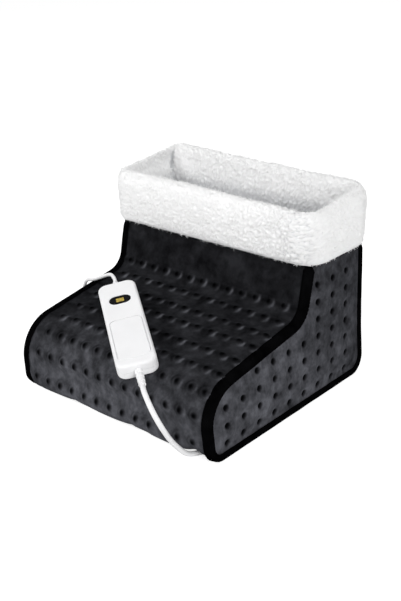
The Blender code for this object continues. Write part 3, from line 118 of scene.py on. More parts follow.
def place_camera():
    level = math.cos(ELEVATION)
    back = Vector((math.sin(AZIMUTH) * level, -math.cos(AZIMUTH) * level, math.sin(ELEVATION)))
    right = Vector((math.cos(AZIMUTH), math.sin(AZIMUTH), 0.0))
    up = back.cross(right)
    turned_right = right * math.cos(ROLL) + up * math.sin(ROLL)
    turned_up = up * math.cos(ROLL) - right * math.sin(ROLL)
    lens = bpy.data.cameras.new("camera")
    lens.sensor_width = SENSOR_WIDTH
    lens.lens = LENS
    turn = Matrix((turned_right, turned_up, back)).transposed().to_4x4()
    turn.translation = AIM + back * DISTANCE + right * SLIDE_RIGHT + up * SLIDE_UP
    scene.camera = placed("camera", lens)
    scene.camera.matrix_world = turn


place_camera()

# %% [markdown]
# ## The outline that everything follows
#
# A boot like this is cut from a few flat patterns. The side pattern gives the outline, and one
# long strip runs over neck, instep, toe, sole, heel and back between the two sides. So a place on
# the strip is only a distance along the outline, a distance across, and a lift off the cloth.

# %% Outline of the side, drawn in by a wall
def rim_corners():
    return [
        (Vector((NECK_TOP_Y, SHELL_HEIGHT)), 0.0), (Vector((NECK_TOP_Y, KNEE_TOP)), 0.0),
        (Vector((NECK_KNEE_Y, KNEE_HEIGHT)), 0.0), (NECK_FOOT, NECK_RADIUS),
        (Vector((TOE_Y, NOSE_HEIGHT)), NOSE_RADIUS), (Vector((TOE_Y + TOE_LEAN, 0.0)), TOE_RADIUS),
        (Vector((HEEL_Y, 0.0)), HEEL_RADIUS), (Vector((BACK_KNEE_Y, KNEE_HEIGHT)), 0.0),
        (Vector((BACK_TOP_Y, KNEE_TOP)), 0.0), (Vector((BACK_TOP_Y, SHELL_HEIGHT)), 0.0),
    ]


def crossing(point, along, other, other_along):
    across = along.x * other_along.y - along.y * other_along.x
    reach = ((other.x - point.x) * other_along.y - (other.y - point.y) * other_along.x) / across
    return point + along * reach


def outline(wall, sole, step):
    """The outline drawn in by wall, with its sole line raised by sole; small steps make round corners."""
    corners = rim_corners()
    lines = []
    for i, ((start, _), (end, _)) in enumerate(zip(corners, corners[1:])):
        along = (end - start).normalized()
        inward = Vector((-along.y, along.x))
        lines.append((start + inward * (sole if i == SOLE_EDGE else wall), along))
    points = [Vector((lines[0][0].x, SHELL_HEIGHT))]
    for (line, along), (next_line, next_along), (_, radius) in zip(lines, lines[1:], corners[1:]):
        corner = crossing(line, along, next_line, next_along)
        turn = math.atan2(along.cross(next_along), along.dot(next_along))
        if radius == 0:
            points.append(corner)
            continue
        side = math.copysign(1, turn)
        radius -= side * wall
        tangent = radius * math.tan(abs(turn) / 2)
        start = corner - along * tangent
        centre = start + Vector((-along.y, along.x)) * side * radius
        count = max(1, math.ceil(abs(turn) / step))
        for k in range(count + 1):
            spoke = (start - centre).copy()
            spoke.rotate(Matrix.Rotation(turn * k / count, 2))
            points.append(centre + spoke)
    points.append(Vector((lines[-1][0].x, SHELL_HEIGHT)))
    return points


class Path:
    """A line of points in the side view, read by distance along it."""

    def __init__(self, points):
        self.points = points
        self.marks = [0.0]
        for start, end in zip(points, points[1:]):
            self.marks.append(self.marks[-1] + (end - start).length)
        ways = [(end - start).normalized() for start, end in zip(points, points[1:])]
        self.normals = []
        for before, after in zip([ways[0]] + ways, ways + [ways[-1]]):
            way = (before + after).normalized()
            self.normals.append(Vector((-way.y, way.x)))
        self.place = 0

    def at(self, station):
        if station < self.marks[self.place]:
            self.place = 0
        while self.place < len(self.points) - 2 and station > self.marks[self.place + 1]:
            self.place += 1
        i = self.place
        share = (station - self.marks[i]) / (self.marks[i + 1] - self.marks[i])
        inward = self.normals[i].lerp(self.normals[i + 1], share)
        return self.points[i].lerp(self.points[i + 1], share), inward.normalized()

    def find(self, test, after=0.0):
        count = math.ceil((self.marks[-1] - after) / GAP)
        for k in range(count + 1):
            station = after + (self.marks[-1] - after) * k / count
            if test(self.at(station)[0]):
                return station
        raise ValueError("no such place on this line")


STRIP = Path(outline(PANEL_SET_IN, SOLE_CLEARANCE, STRIP_TURN))
SEAM_STATION = STRIP.find(lambda p: p.y < SEAM_HEIGHT)
TOE_STATION = STRIP.find(lambda p: p.y < SOLE_CLEARANCE + GAP)
HEEL_STATION = STRIP.find(lambda p: p.y > SOLE_CLEARANCE + GAP, TOE_STATION + NOSE_HEIGHT)
RIM_STATION = STRIP.marks[-1]
print(f"strip: {RIM_STATION / MM:.0f} mm, toe at {TOE_STATION / MM:.0f}, heel at {HEEL_STATION / MM:.0f}")


# %% Places on the strip and on the sides
def smooth(share):
    share = min(max(share, 0.0), 1.0)
    return share * share * (3 - 2 * share)


def drawn_in(height):
    """How far the sides are in at this height: in under the cuff, out near the floor."""
    under_cuff = min(max((height - KNEE_HEIGHT) / (KNEE_TOP - KNEE_HEIGHT), 0.0), 1.0)
    return SQUEEZE * under_cuff - SPREAD * max(1 - height / SPREAD_HEIGHT, 0.0) ** 2


def swell(edge_distance, height):
    share = min(max(edge_distance / CROWN_RUN, 0.0), 1.0)
    under_cuff = smooth((height - CROWN_TOP) / CROWN_FADE)
    return PANEL_CROWN * (1 - (1 - share) ** 2) * (1 - under_cuff)


def strip_point(x, station, lift):
    point, inward = STRIP.at(station)
    point = point - inward * lift
    wide = 1 - drawn_in(point.y) / STRIP_HALF
    return Vector((x * wide, point.x + FOOTPRINT_SHIFT, point.y))


def side_point(sign, flat, lift):
    x = HALF - PANEL_SET_IN - drawn_in(flat.y) + lift
    return Vector((sign * x, flat.x + FOOTPRINT_SHIFT, flat.y))


def edge_distance(point, border):
    nearest = 1.0
    for start, end in zip(border, border[1:] + border[:1]):
        along = end - start
        share = min(max((point - start).dot(along) / along.length_squared, 0.0), 1.0)
        nearest = min(nearest, (point - start - along * share).length)
    return nearest


def inside(point, border):
    crossings = 0
    for start, end in zip(border, border[1:] + border[:1]):
        if (start.y > point.y) != (end.y > point.y):
            at_x = start.x + (point.y - start.y) / (end.y - start.y) * (end.x - start.x)
            crossings += at_x > point.x
    return crossings % 2 == 1


# %% [markdown]
# ## Finishes
#
# Each finish is a small node tree on Object coordinates, so a grain keeps its real size in metres
# and stays put. A few helpers keep the trees short: they make a node, join sockets, make the
# material, and add the patterns that nearly every finish here shares.

# %% Helpers for node trees
def node(tree, kind, **settings):
    made = tree.nodes.new(kind)
    for key, value in settings.items():
        setattr(made, key, value)
    return made


def chain(tree, *links):
    for start, end in links:
        tree.links.new(start, end)


def new_finish(name, **sockets):
    """A material with plain values on its shader; an underscore stands for a space in a socket's name."""
    made = bpy.data.materials.new(name)
    made.use_nodes = True
    shader = made.node_tree.nodes["Principled BSDF"]
    for socket, value in sockets.items():
        shader.inputs[socket.replace("_", " ")].default_value = value
    return made, made.node_tree, shader


def object_place(tree, stretch=(1.0, 1.0, 1.0)):
    place = node(tree, "ShaderNodeTexCoord")
    mapping = node(tree, "ShaderNodeMapping")
    mapping.inputs["Scale"].default_value = stretch
    chain(tree, (place.outputs["Object"], mapping.inputs["Vector"]))
    return mapping.outputs["Vector"]


def cloudy(tree, place, scale, detail=2.0, roughness=0.5):
    made = node(tree, "ShaderNodeTexNoise")
    for socket, value in (("Scale", scale), ("Detail", detail), ("Roughness", roughness)):
        made.inputs[socket].default_value = value
    chain(tree, (place, made.inputs["Vector"]))
    return made.outputs["Fac"]


def ramp(tree, share, *stops):
    made = node(tree, "ShaderNodeValToRGB")
    elements = made.color_ramp.elements
    while len(elements) < len(stops):
        elements.new(0.5)
    for element, (position, colour) in zip(elements, stops):
        element.position = position
        element.color = (*colour, 1.0)
    chain(tree, (share, made.inputs["Fac"]))
    return made.outputs["Color"]


# The Mix node has sockets for every kind of data. These are its share, its two colours and their mix.
MIX_SHARE, MIX_FIRST, MIX_SECOND, MIX_RESULT = 0, 6, 7, 2


def mixed(tree, share, first, second, blend="MIX"):
    made = node(tree, "ShaderNodeMix", data_type="RGBA", blend_type=blend)
    for socket, value in ((MIX_SHARE, share), (MIX_FIRST, first), (MIX_SECOND, second)):
        if isinstance(value, bpy.types.NodeSocket):
            chain(tree, (value, made.inputs[socket]))
        else:
            made.inputs[socket].default_value = value
    return made.outputs[MIX_RESULT]


def raised(tree, shader, height, distance, strength):
    made = node(tree, "ShaderNodeBump")
    made.inputs["Distance"].default_value = distance
    made.inputs["Strength"].default_value = strength
    chain(tree, (height, made.inputs["Height"]), (made.outputs["Normal"], shader.inputs["Normal"]))


def painted(tree, shader, colour):
    chain(tree, (colour, shader.inputs["Base Color"]))


def mottled(tree, shader, share, stops, colour, dim):
    """Paints with a colour that is a little dimmer in patches."""
    low, high = stops
    painted(tree, shader, ramp(tree, share, (low, tuple(part * dim for part in colour)), (high, colour)))


def piece_attribute(tree, name):
    made = node(tree, "ShaderNodeAttribute", attribute_type="GEOMETRY", attribute_name=name)
    return made.outputs["Fac"]


# %% [markdown]
# ### Velvet
#
# Short-pile velvet is nearly black. The mesh carries painted light and shade as an attribute,
# which picks a shade between two: painted shade on the instep, painted light down the toe and low on
# the sides, with a small painted highlight and shade beside each dot. Strokes of a hand leave lighter
# and darker patches, and two slow noises give those. The pressed dots are darkest, partly because
# the pile is crushed there and partly through painted shade in their pits and along the furrows: the
# mesh carries that as a second attribute.

# %% Velvet, tape and fleece
PATCH_SCALE, STROKE_SCALE, STROKE_STRETCH, STROKE_SHARE = 42.0, 95.0, (1.0, 1.3, 0.9), 0.4
STROKE_GREYS = ((0.34, 0.22), (0.50, 0.55), (0.66, 1.0))
CRUSHED_AND_SHADED_PILE, SHEEN_TINT = (0.0003, 0.0003, 0.0004, 1.0), (0.80, 0.84, 0.95, 1.0)
PILE_SCALE, PILE_HEIGHT = 1400.0, 0.25 * MM


def velvet_finish(name, shades):
    """The two shades are the painted shade and the painted light that the velvet's attribute picks between.
    """
    made, tree, shader = new_finish(
        name, Roughness=0.95, Sheen_Weight=0.02, Sheen_Roughness=0.4, Sheen_Tint=SHEEN_TINT,
        Specular_IOR_Level=0.0,
    )
    place = object_place(tree)
    patches = cloudy(tree, place, PATCH_SCALE, 3.0, 0.6)
    strokes = cloudy(tree, object_place(tree, STROKE_STRETCH), STROKE_SCALE, 3.0, 0.65)
    worn = mixed(tree, STROKE_SHARE, patches, strokes)
    # Picks between the painted shade and the painted light.
    light_and_shade = ramp(tree, piece_attribute(tree, "painted_light"), (0.0, shades[0]), (1.0, shades[1]))
    stroked = ramp(tree, worn, *((stop, (grey, grey, grey)) for stop, grey in STROKE_GREYS))
    colour = mixed(tree, 1.0, light_and_shade, stroked, "MULTIPLY")
    # Crushed pile, and painted shade in the pits and furrows, go near black.
    painted(tree, shader, mixed(tree, piece_attribute(tree, "crushed_and_shaded"), colour, CRUSHED_AND_SHADED_PILE))
    raised(tree, shader, cloudy(tree, place, PILE_SCALE, 2.0, 0.7), PILE_HEIGHT, 0.5)
    return made


def greys(*shades):
    """Greys with a faint cold tint."""
    return [(shade, shade * 1.02, shade * 1.15) for shade in shades]


# The darker shade is painted shade for the instep, the lighter one painted light for the toe and sides.
VELVET = velvet_finish("charcoal_velvet", greys(0.026, 0.140))
BAND_VELVET = velvet_finish("plain_velvet", greys(0.022, 0.042))

RIB_SCALE, RIB_WAVER, RIB_HEIGHT = 420.0, 1.5, 0.15 * MM
TAPE_SHADES = ((0.3, (0.0006, 0.0006, 0.0007)), (0.75, (0.0032, 0.0032, 0.0036)))


def tape_finish():
    made, tree, shader = new_finish("binding_tape", Roughness=0.8, Specular_IOR_Level=0.0)
    place = object_place(tree)
    rib = node(tree, "ShaderNodeTexWave", wave_type="BANDS", bands_direction="DIAGONAL")
    rib.inputs["Scale"].default_value = RIB_SCALE
    rib.inputs["Distortion"].default_value = RIB_WAVER
    chain(tree, (place, rib.inputs["Vector"]))
    painted(tree, shader, ramp(tree, cloudy(tree, place, 60.0, 3.0), *TAPE_SHADES))
    raised(tree, shader, rib.outputs["Fac"], RIB_HEIGHT, 0.6)
    return made


TAPE = tape_finish()
FIBRE_SCALE, FIBRE_HEIGHT, GLOW_DEPTH = 900.0, 0.6 * MM, 4 * MM
CREASE_SHADE_SHARE, TIP_SHARE = 0.12, 0.88


def fleece_finish(name, crease_shade, tip):
    """The first colour is painted shade in the creases between the curls, the second that of the curls' tips.
    """
    made, tree, shader = new_finish(
        name, Roughness=0.95, Sheen_Weight=0.25, Subsurface_Weight=0.15, Subsurface_Scale=1.0,
        Subsurface_Radius=(GLOW_DEPTH, GLOW_DEPTH, GLOW_DEPTH), Specular_IOR_Level=0.1,
    )
    between = tuple(CREASE_SHADE_SHARE * low + TIP_SHARE * high for low, high in zip(crease_shade, tip))
    curl_and_shade = piece_attribute(tree, "curl_and_shade")
    painted(tree, shader, ramp(tree, curl_and_shade, (0.0, crease_shade), (0.5, between), (0.95, tip)))
    fibres = cloudy(tree, object_place(tree), FIBRE_SCALE, 4.0, 0.75)
    raised(tree, shader, fibres, FIBRE_HEIGHT, 0.7)
    return made


FLEECE = fleece_finish("white_fleece", (0.46, 0.47, 0.49), (0.96, 0.96, 0.96))
# A darker copy of the cuff's fleece: painted shade for the lining inside the boot.
SHADED_LINING_FLEECE = fleece_finish("shaded_lining_fleece", (0.42, 0.43, 0.45), (0.80, 0.81, 0.82))


# %% [markdown]
# ### Plastics and small parts
#
# The controller is moulded in white plastic with a very fine spark grain, its window is polished,
# and the leads have a softer, slightly waxy white. The rest lies inside, but still gets its own
# finish: felt, foam, circuit board, nickel and black plastic.

# %% Plastics, leads and metal
def moulded_finish(name, colour, roughness, grain=2500.0, depth=0.02 * MM, shine=0.5):
    made, tree, shader = new_finish(name, Roughness=roughness, Specular_IOR_Level=shine)
    place = object_place(tree)
    mottled(tree, shader, cloudy(tree, place, 35.0), (0.35, 0.65), colour, 0.965)
    raised(tree, shader, cloudy(tree, place, grain, 1.0), depth, 0.5)
    return made


def fibre_finish(name, colour, scale, **sockets):
    made, tree, shader = new_finish(name, Roughness=0.95, **sockets)
    cells = cloudy(tree, object_place(tree), scale, 4.0, 0.7)
    mottled(tree, shader, cells, (0.3, 0.7), colour, 0.7)
    raised(tree, shader, cells, 0.4 * MM, 0.8)
    return made


def metal_finish(name, colour, roughness):
    made, tree, shader = new_finish(name, Roughness=roughness, Metallic=1.0)
    rubbed = cloudy(tree, object_place(tree), 700.0)
    mottled(tree, shader, rubbed, (0.3, 0.7), colour, 0.9)
    raised(tree, shader, rubbed, 0.02 * MM, 0.4)
    return made


AMBER_SHADES = ((0.3, (0.18, 0.12, 0.006)), (0.7, (0.50, 0.36, 0.03)))


def display_finish(name):
    made, tree, shader = new_finish(name, Roughness=0.35, Emission_Strength=0.2)
    amber = ramp(tree, cloudy(tree, object_place(tree), 420.0), *AMBER_SHADES)
    chain(tree, (amber, shader.inputs["Base Color"]), (amber, shader.inputs["Emission Color"]))
    return made


WHITE = (0.90, 0.90, 0.91)
CAD_FINISHES = {}
for make, name, *values in (
    (moulded_finish, "white_plastic", WHITE, 0.40),
    (moulded_finish, "white_lead", WHITE, 0.50, 600.0, 0.03 * MM),
    (moulded_finish, "black_window", (0.002, 0.002, 0.0025), 0.16, 300.0, 0.002 * MM, 0.03),
    (moulded_finish, "black_plastic", (0.020, 0.020, 0.021), 0.55, 1800.0, 0.05 * MM),
    (moulded_finish, "circuit_board", (0.03, 0.16, 0.06), 0.45),
    (moulded_finish, "heating_wire", (0.55, 0.10, 0.08), 0.5),
    (fibre_finish, "heater_felt", (0.70, 0.68, 0.64), 500.0),
    (fibre_finish, "foam", (0.60, 0.60, 0.58), 900.0),
    (metal_finish, "plated_metal", (0.66, 0.66, 0.67), 0.25),
    (display_finish, "amber_display"),
):
    CAD_FINISHES[name] = make(name, *values)
CAD_FINISHES |= {
    "quilted_velvet": VELVET, "plain_velvet": BAND_VELVET, "sole_cloth": BAND_VELVET, "binding_tape": TAPE,
    "white_fleece": FLEECE,
}
for part in frame["record"]["subparts"]:
    for slot in frame["nodes"][part["node"]].material_slots:
        slot.material = CAD_FINISHES[part["material_slot"]]


# %% [markdown]
# ## Quilted panels
#
# The padded cloth is pressed down in rows of dots and puffs up between them. Modelling those puffs
# by hand looks mechanical. Here a flat pattern with a grid line on every dot is laid on the boot,
# its dots and edges are held, and a cloth simulation with air pressure lets the rest swell and
# wrinkle as real padding does. Then it is subdivided, and each dot is pressed in once more.

# %% Making a piece, and letting cloth swell
def link_piece(name, mesh, finish):
    piece = placed(name, mesh)
    mesh.materials.clear()
    mesh.materials.append(finish)
    mesh.shade_smooth()
    return piece


def hand_over(piece, slot, *nodes, fill=None):
    """Says what a piece rides on and the nodes it replaces; its finish and how full its padding is are not
    used.
    """
    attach(piece, "root")
    if nodes:
        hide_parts(*nodes)


def meshed(shape, name):
    mesh = bpy.data.meshes.new(name)
    shape.to_mesh(mesh)
    shape.free()
    return mesh


def weave(shape, rows):
    """Faces between rows of vertices."""
    for left, right in zip(rows, rows[1:]):
        for i in range(len(left) - 1):
            shape.faces.new((left[i], right[i], right[i + 1], left[i + 1]))


def wrap(shape, rings, closed=True):
    """Faces between rings of vertices, or between rows when they aren't closed."""
    for low, high in zip(rings, rings[1:]):
        for i in range(len(low) if closed else len(low) - 1):
            j = (i + 1) % len(low)
            shape.faces.new((low[i], low[j], high[j], high[i]))


def coordinates(mesh):
    flat = np.empty(len(mesh.vertices) * 3)
    mesh.vertices.foreach_get("co", flat)
    return flat.reshape(-1, 3)


def store(mesh, name, values):
    made = mesh.attributes.get(name) or mesh.attributes.new(name, "FLOAT", "POINT")
    made.data.foreach_set("value", np.asarray(values, dtype=np.float32).ravel())


def stored(mesh, name):
    values = np.empty(len(mesh.vertices), dtype=np.float32)
    mesh.attributes[name].data.foreach_get("value", values)
    return values


def evaluated(piece):
    return piece.evaluated_get(bpy.context.evaluated_depsgraph_get())


def keep_result(piece, modifier):
    """Swaps the piece's mesh for what the modifier makes of it."""
    mesh = bpy.data.meshes.new_from_object(evaluated(piece))
    piece.modifiers.remove(modifier)
    old, piece.data = piece.data, mesh
    bpy.data.meshes.remove(old)
    return mesh


SWELL_FRAMES, SWELL_LIMIT = 24, 6 * MM
CLOTH_VALUES = {
    "quality": 6, "mass": 0.05, "air_damping": 4.0, "tension_stiffness": 20.0, "compression_stiffness": 20.0,
    "shear_stiffness": 8.0, "bending_stiffness": 2.0, "use_pressure": True, "vertex_group_mass": "held",
}


def let_swell(piece, held, slack, pressure):
    """Runs the cloth with its held vertices fixed, and keeps where it settles."""
    group = piece.vertex_groups.new(name="held")
    group.add(held, 1.0, "REPLACE")
    rest = coordinates(piece.data)
    cloth = piece.modifiers.new("cloth", "CLOTH")
    for key, value in CLOTH_VALUES.items():
        setattr(cloth.settings, key, value)
    cloth.settings.uniform_pressure_force = pressure
    cloth.settings.shrink_min = -slack
    cloth.settings.effector_weights.gravity = 0.0
    cloth.collision_settings.use_collision = False
    cloth.point_cache.frame_start = 1
    cloth.point_cache.frame_end = SWELL_FRAMES
    for step in range(1, SWELL_FRAMES + 1):
        scene.frame_set(step)
    moved = coordinates(evaluated(piece).to_mesh()) - rest
    piece.modifiers.remove(cloth)
    scene.frame_set(1)
    piece.vertex_groups.clear()
    reach = np.linalg.norm(moved, axis=1, keepdims=True)
    moved *= np.minimum(1.0, SWELL_LIMIT / np.maximum(reach, 1e-9))
    piece.data.vertices.foreach_set("co", (rest + moved).ravel())
    print(f"{piece.name}: swelled {reach.mean() / MM:.2f} mm on average, {reach.max() / MM:.2f} mm at most")


def made_fine(piece, levels):
    fine = piece.modifiers.new("fine", "SUBSURF")
    fine.levels = fine.render_levels = levels
    return keep_result(piece, fine)


def closed_off(shape, mesh):
    """Writes a panel back to its mesh when it has got its thickness."""
    bmesh.ops.recalc_face_normals(shape, faces=shape.faces)
    shape.to_mesh(mesh)
    shape.free()
    mesh.shade_smooth()
    mesh.set_sharp_from_angle(angle=SHARP)


# %% [markdown]
# A pressed dot is a small round pit, about 6 mm across, in the middle of a wider shallow dip. Its
# depth comes from the distance to the nearest dot of the pattern, measured on the flat pattern,
# and the same distance gives the attribute that darkens the crushed pile and paints shade in the
# pit. On one side of each dot a small highlight is painted, with painted shade on the other side.
# Furrows join the dots of the front's rows, and shade is painted along them.

# %% Pressing the dots in
# The pit's third size is how far the crushed pile and the painted shade of each pit reach.
PIT_RADIUS, PIT_DEPTH, PIT_SHADE_RADIUS = 3.2 * MM, 1.2 * MM, 4.1 * MM
DIP_RADIUS, DIP_DEPTH = 7.5 * MM, 2.2 * MM
# The painted highlight and shade beside each dot: its ring, how it fades where the painted light is high, and
# how its strength varies from dot to dot.
PAINTED_LOBE_RADIUS, PAINTED_LOBE_WIDTH, HIGHLIGHT_FADE = 7.0 * MM, 1.7 * MM, 0.75
PAINTED_LOBE_LEAST, PAINTED_LOBE_VARIES, PAINTED_LOBE_CHANGE = 0.45, 0.55, 17.3
# The last size is painted shade along the furrows.
FURROW_DEPTH, FURROW_WIDTH, FURROW_SHADE = 1.0 * MM, 4.0 * MM, 0.60
# How far the crushed pile and painted shade darken at most, and how high the painted light goes.
CRUSHED_SHADE_MOST, PAINTED_LIGHT_MOST = 0.98, 1.2


def press_dots(mesh, dots, painted_light, furrow, way, light, lobe_shade):
    """Presses dots and furrows in, with crushed pile and painted shade in the pits and furrows; paints a
    highlight on the side of a dot that way points to, and shade on the other side.
    """
    flat = np.stack([stored(mesh, "flat_u"), stored(mesh, "flat_v")], axis=1)
    nearest, painted_lobe = np.full(len(flat), 1.0), np.zeros(len(flat))
    for k, dot in enumerate(dots):
        off = flat - np.array(dot)
        far = np.hypot(off[:, 0], off[:, 1])
        toward = (off @ np.array(way)) / np.maximum(far, 1e-6)
        strength = PAINTED_LOBE_LEAST + PAINTED_LOBE_VARIES * abs(math.sin(PAINTED_LOBE_CHANGE * k))
        ring = np.exp(-((far - PAINTED_LOBE_RADIUS) / PAINTED_LOBE_WIDTH) ** 2) * strength
        # A painted highlight on the side the way points to, and painted shade on the other side.
        painted_highlight = light * (1 - HIGHLIGHT_FADE * painted_light) * np.maximum(toward, 0.0) ** 3
        painted_lobe = np.where(far < nearest, ring * (painted_highlight - lobe_shade * np.maximum(-toward, 0.0)), painted_lobe)
        nearest = np.minimum(nearest, far)
    pit, dip = np.exp(-(nearest / PIT_RADIUS) ** 4), np.exp(-(nearest / DIP_RADIUS) ** 2)
    sunk = PIT_DEPTH * pit + DIP_DEPTH * dip + FURROW_DEPTH * furrow
    normals = np.empty(len(flat) * 3)
    mesh.vertices.foreach_get("normal", normals)
    pushed = coordinates(mesh) - normals.reshape(-1, 3) * sunk[:, None]
    mesh.vertices.foreach_set("co", pushed.ravel())
    # Painted shade along the furrows, and crushed pile with painted shade in the pits.
    shade_in_furrow = FURROW_SHADE * furrow * (1 - np.clip(painted_lobe, 0.0, 1.0))
    crush_and_shade = np.maximum(np.exp(-(nearest / PIT_SHADE_RADIUS) ** 4), shade_in_furrow)
    store(mesh, "crushed_and_shaded", crush_and_shade * CRUSHED_SHADE_MOST)
    # The painted highlights and shade beside the dots join the painted light.
    store(mesh, "painted_light", np.clip(painted_light + painted_lobe, 0.0, PAINTED_LIGHT_MOST))
    mesh.update()


CELL = 3.9 * MM


def grid_marks(start, end, dots):
    """Grid lines from start to end, with one on every dot."""
    knots = [start] + list(dots) + [end]
    marks = []
    for low, high in zip(knots, knots[1:]):
        count = max(1, round((high - low) / CELL))
        marks += [low + (high - low) * k / count for k in range(count)]
    return marks + [end]


LEAD_UNDER_TOE, LEAD_UNDER_HEEL, LEAD_ROOM = 123 * MM, 54 * MM, 13 * MM
SAG, SAG_RUN, SAG_AHEAD, SAG_END = 5.5 * MM, 20 * MM, 1.7, 6 * MM


def sag(x, station):
    """The padded toe and heel hang down to the floor, and give way over the mains lead."""
    toe = smooth((station - TOE_STATION) / SAG_RUN + SAG_AHEAD) * smooth((TOE_STATION - station) / SAG_END)
    heel = smooth((HEEL_STATION - station) / SAG_RUN + SAG_AHEAD) * smooth((station - HEEL_STATION) / SAG_END)
    over_toe = math.exp(-((x - LEAD_UNDER_TOE) / LEAD_ROOM) ** 2)
    over_heel = math.exp(-((x - LEAD_UNDER_HEEL) / LEAD_ROOM) ** 2)
    ends = smooth((STRIP_HALF - abs(x)) / SAG_END)
    return SAG * ends * (toe * (1 - over_toe) + heel * (1 - over_heel))


def strip_swell(x, station, start, end):
    height = STRIP.at(station)[0].y
    return swell(min(STRIP_HALF - abs(x), station - start, end - station), height) + sag(x, station)


# Painted light on the strip: where it starts and how long it grows down the toe, and how much painted shade
# it takes toward the edges.
LIGHT_START, LIGHT_RUN = 215 * MM, 118 * MM
EDGE_SHADE, LIGHT_MIDDLE, EDGE_SHADE_RUN = 0.38, 50 * MM, 70 * MM


def strip_painted_light(x, station):
    """Painted light: dark on the instep and lighter down the toe, most in the middle, with painted shade
    toward the edges.
    """
    painted_shade = EDGE_SHADE * smooth((abs(x) - LIGHT_MIDDLE) / EDGE_SHADE_RUN)
    return smooth((station - LIGHT_START) / LIGHT_RUN) * (1 - painted_shade)


EDGE_STRAIGHTENS = 12


def aslant(x, station, rows, shifts):
    """The sewn columns wander sideways from row to row, but the edges stay straight."""
    if not shifts:
        return x
    return x + float(np.interp(station, rows, shifts)) * (1 - (abs(x) / STRIP_HALF) ** EDGE_STRAIGHTENS)


PUFF_SUNK = 1.2 * MM
# The way, the painted highlight and the painted shade beside the dots of the strip.
STRIP_PAINTED_LOBES = ((0.95, 0.3), 1.1, 0.4)


def strip_cloth(
    name, start, end, columns, rows, finish, slack, pressure, levels=2, sunk=PUFF_SUNK, shifts=()
):
    """A panel of the strip: laid on the boot, swelled, made fine, pressed in and given its thickness."""
    xs = grid_marks(-STRIP_HALF, STRIP_HALF, columns)
    stations = grid_marks(start, end, rows)
    shape = bmesh.new()
    grid, held, flats = [], [], []
    for x in xs:
        line = []
        for station in stations:
            edge = x in (xs[0], xs[-1]) or station in (start, end)
            dot = x in columns and station in rows
            lift = 0.0 if edge else strip_swell(x, station, start, end) - sunk
            if dot:
                lift -= DOT_DEPTH - sunk
            across = aslant(x, station, rows, shifts)
            line.append(shape.verts.new(strip_point(across, station, lift)))
            flats.append((across, station))
            if edge or dot:
                held.append(len(flats) - 1)
        grid.append(line)
    weave(shape, grid)
    mesh = meshed(shape, name)
    store(mesh, "flat_u", [f[0] for f in flats])
    store(mesh, "flat_v", [f[1] for f in flats])
    piece = link_piece(name, mesh, finish)
    let_swell(piece, held, slack, pressure)
    mesh = made_fine(piece, levels)
    stations = stored(mesh, "flat_v")
    # Painted light and shade, by place on the strip.
    painted_light = np.array([strip_painted_light(float(x), float(v)) for x, v in zip(stored(mesh, "flat_u"), stations)])
    furrow = np.zeros(len(stations))
    for row in rows:
        furrow = np.maximum(furrow, np.exp(-((stations - row) / FURROW_WIDTH) ** 2) * (1 - painted_light))
    dots = [(aslant(x, row, rows, shifts), row) for x in columns for row in rows]
    press_dots(mesh, dots, painted_light, furrow, *STRIP_PAINTED_LOBES)
    close_strip(mesh, start, end)
    return piece


def close_strip(mesh, start, end):
    """Gives a strip panel its thickness: a plain inner face and four edges."""
    us, vs = stored(mesh, "flat_u"), stored(mesh, "flat_v")
    shape = bmesh.new()
    shape.from_mesh(mesh)
    shape.verts.ensure_lookup_table()

    def along(indices, key):
        return [shape.verts[i] for i in sorted(indices, key=key)]

    def near(values, value):
        return [i for i in range(len(values)) if abs(values[i] - value) < 1e-6]

    right = along(near(us, STRIP_HALF), lambda i: vs[i])
    left = along(near(us, -STRIP_HALF), lambda i: vs[i])
    first = along(near(vs, start), lambda i: us[i])
    last = along(near(vs, end), lambda i: us[i])
    marks = sorted(float(vs[i]) for i in near(us, STRIP_HALF))
    low_right, low_left = (
        [shape.verts.new(strip_point(x, s, -PANEL_THICKNESS)) for s in marks]
        for x in (STRIP_HALF, -STRIP_HALF)
    )
    for i in range(len(marks) - 1):
        shape.faces.new((low_right[i], low_right[i + 1], low_left[i + 1], low_left[i]))
        shape.faces.new((right[i], right[i + 1], low_right[i + 1], low_right[i]))
        shape.faces.new((left[i + 1], left[i], low_left[i], low_left[i + 1]))
    shape.faces.new(first + [low_right[0], low_left[0]])
    shape.faces.new(list(reversed(last)) + [low_left[-1], low_right[-1]])
    closed_off(shape, mesh)


# %% Front, back and neck panels
COLUMN_MARGIN = 8.25 * MM
PAD_SLACK, PAD_PRESSURE = 0.006, 9.0
per_side = int((STRIP_HALF - COLUMN_MARGIN) / DOT_PITCH)
COLUMNS = [DOT_PITCH * k for k in range(-per_side, per_side + 1)]
front_start, front_end = SEAM_STATION + GAP / 2, TOE_STATION - GAP / 2
ROWS_FROM_SEAM = [mm * MM for mm in (5.6, 32.0, 62.0, 87.5, 118.0, 147.0, 172.0, 197.5, 229.0)]
ROW_SHIFTS = [mm * MM for mm in (-4.0, 4.5, 11.5, 12.0, 12.5, 14.0, 13.0, 8.0, 4.0)]
FRONT_ROWS = [SEAM_STATION + place for place in ROWS_FROM_SEAM]
front = strip_cloth(
    "quilted_front", front_start, front_end, COLUMNS, FRONT_ROWS, VELVET, PAD_SLACK, PAD_PRESSURE,
    shifts=ROW_SHIFTS,
)
hand_over(front, "quilted_velvet", "front_panel", fill=0.6)

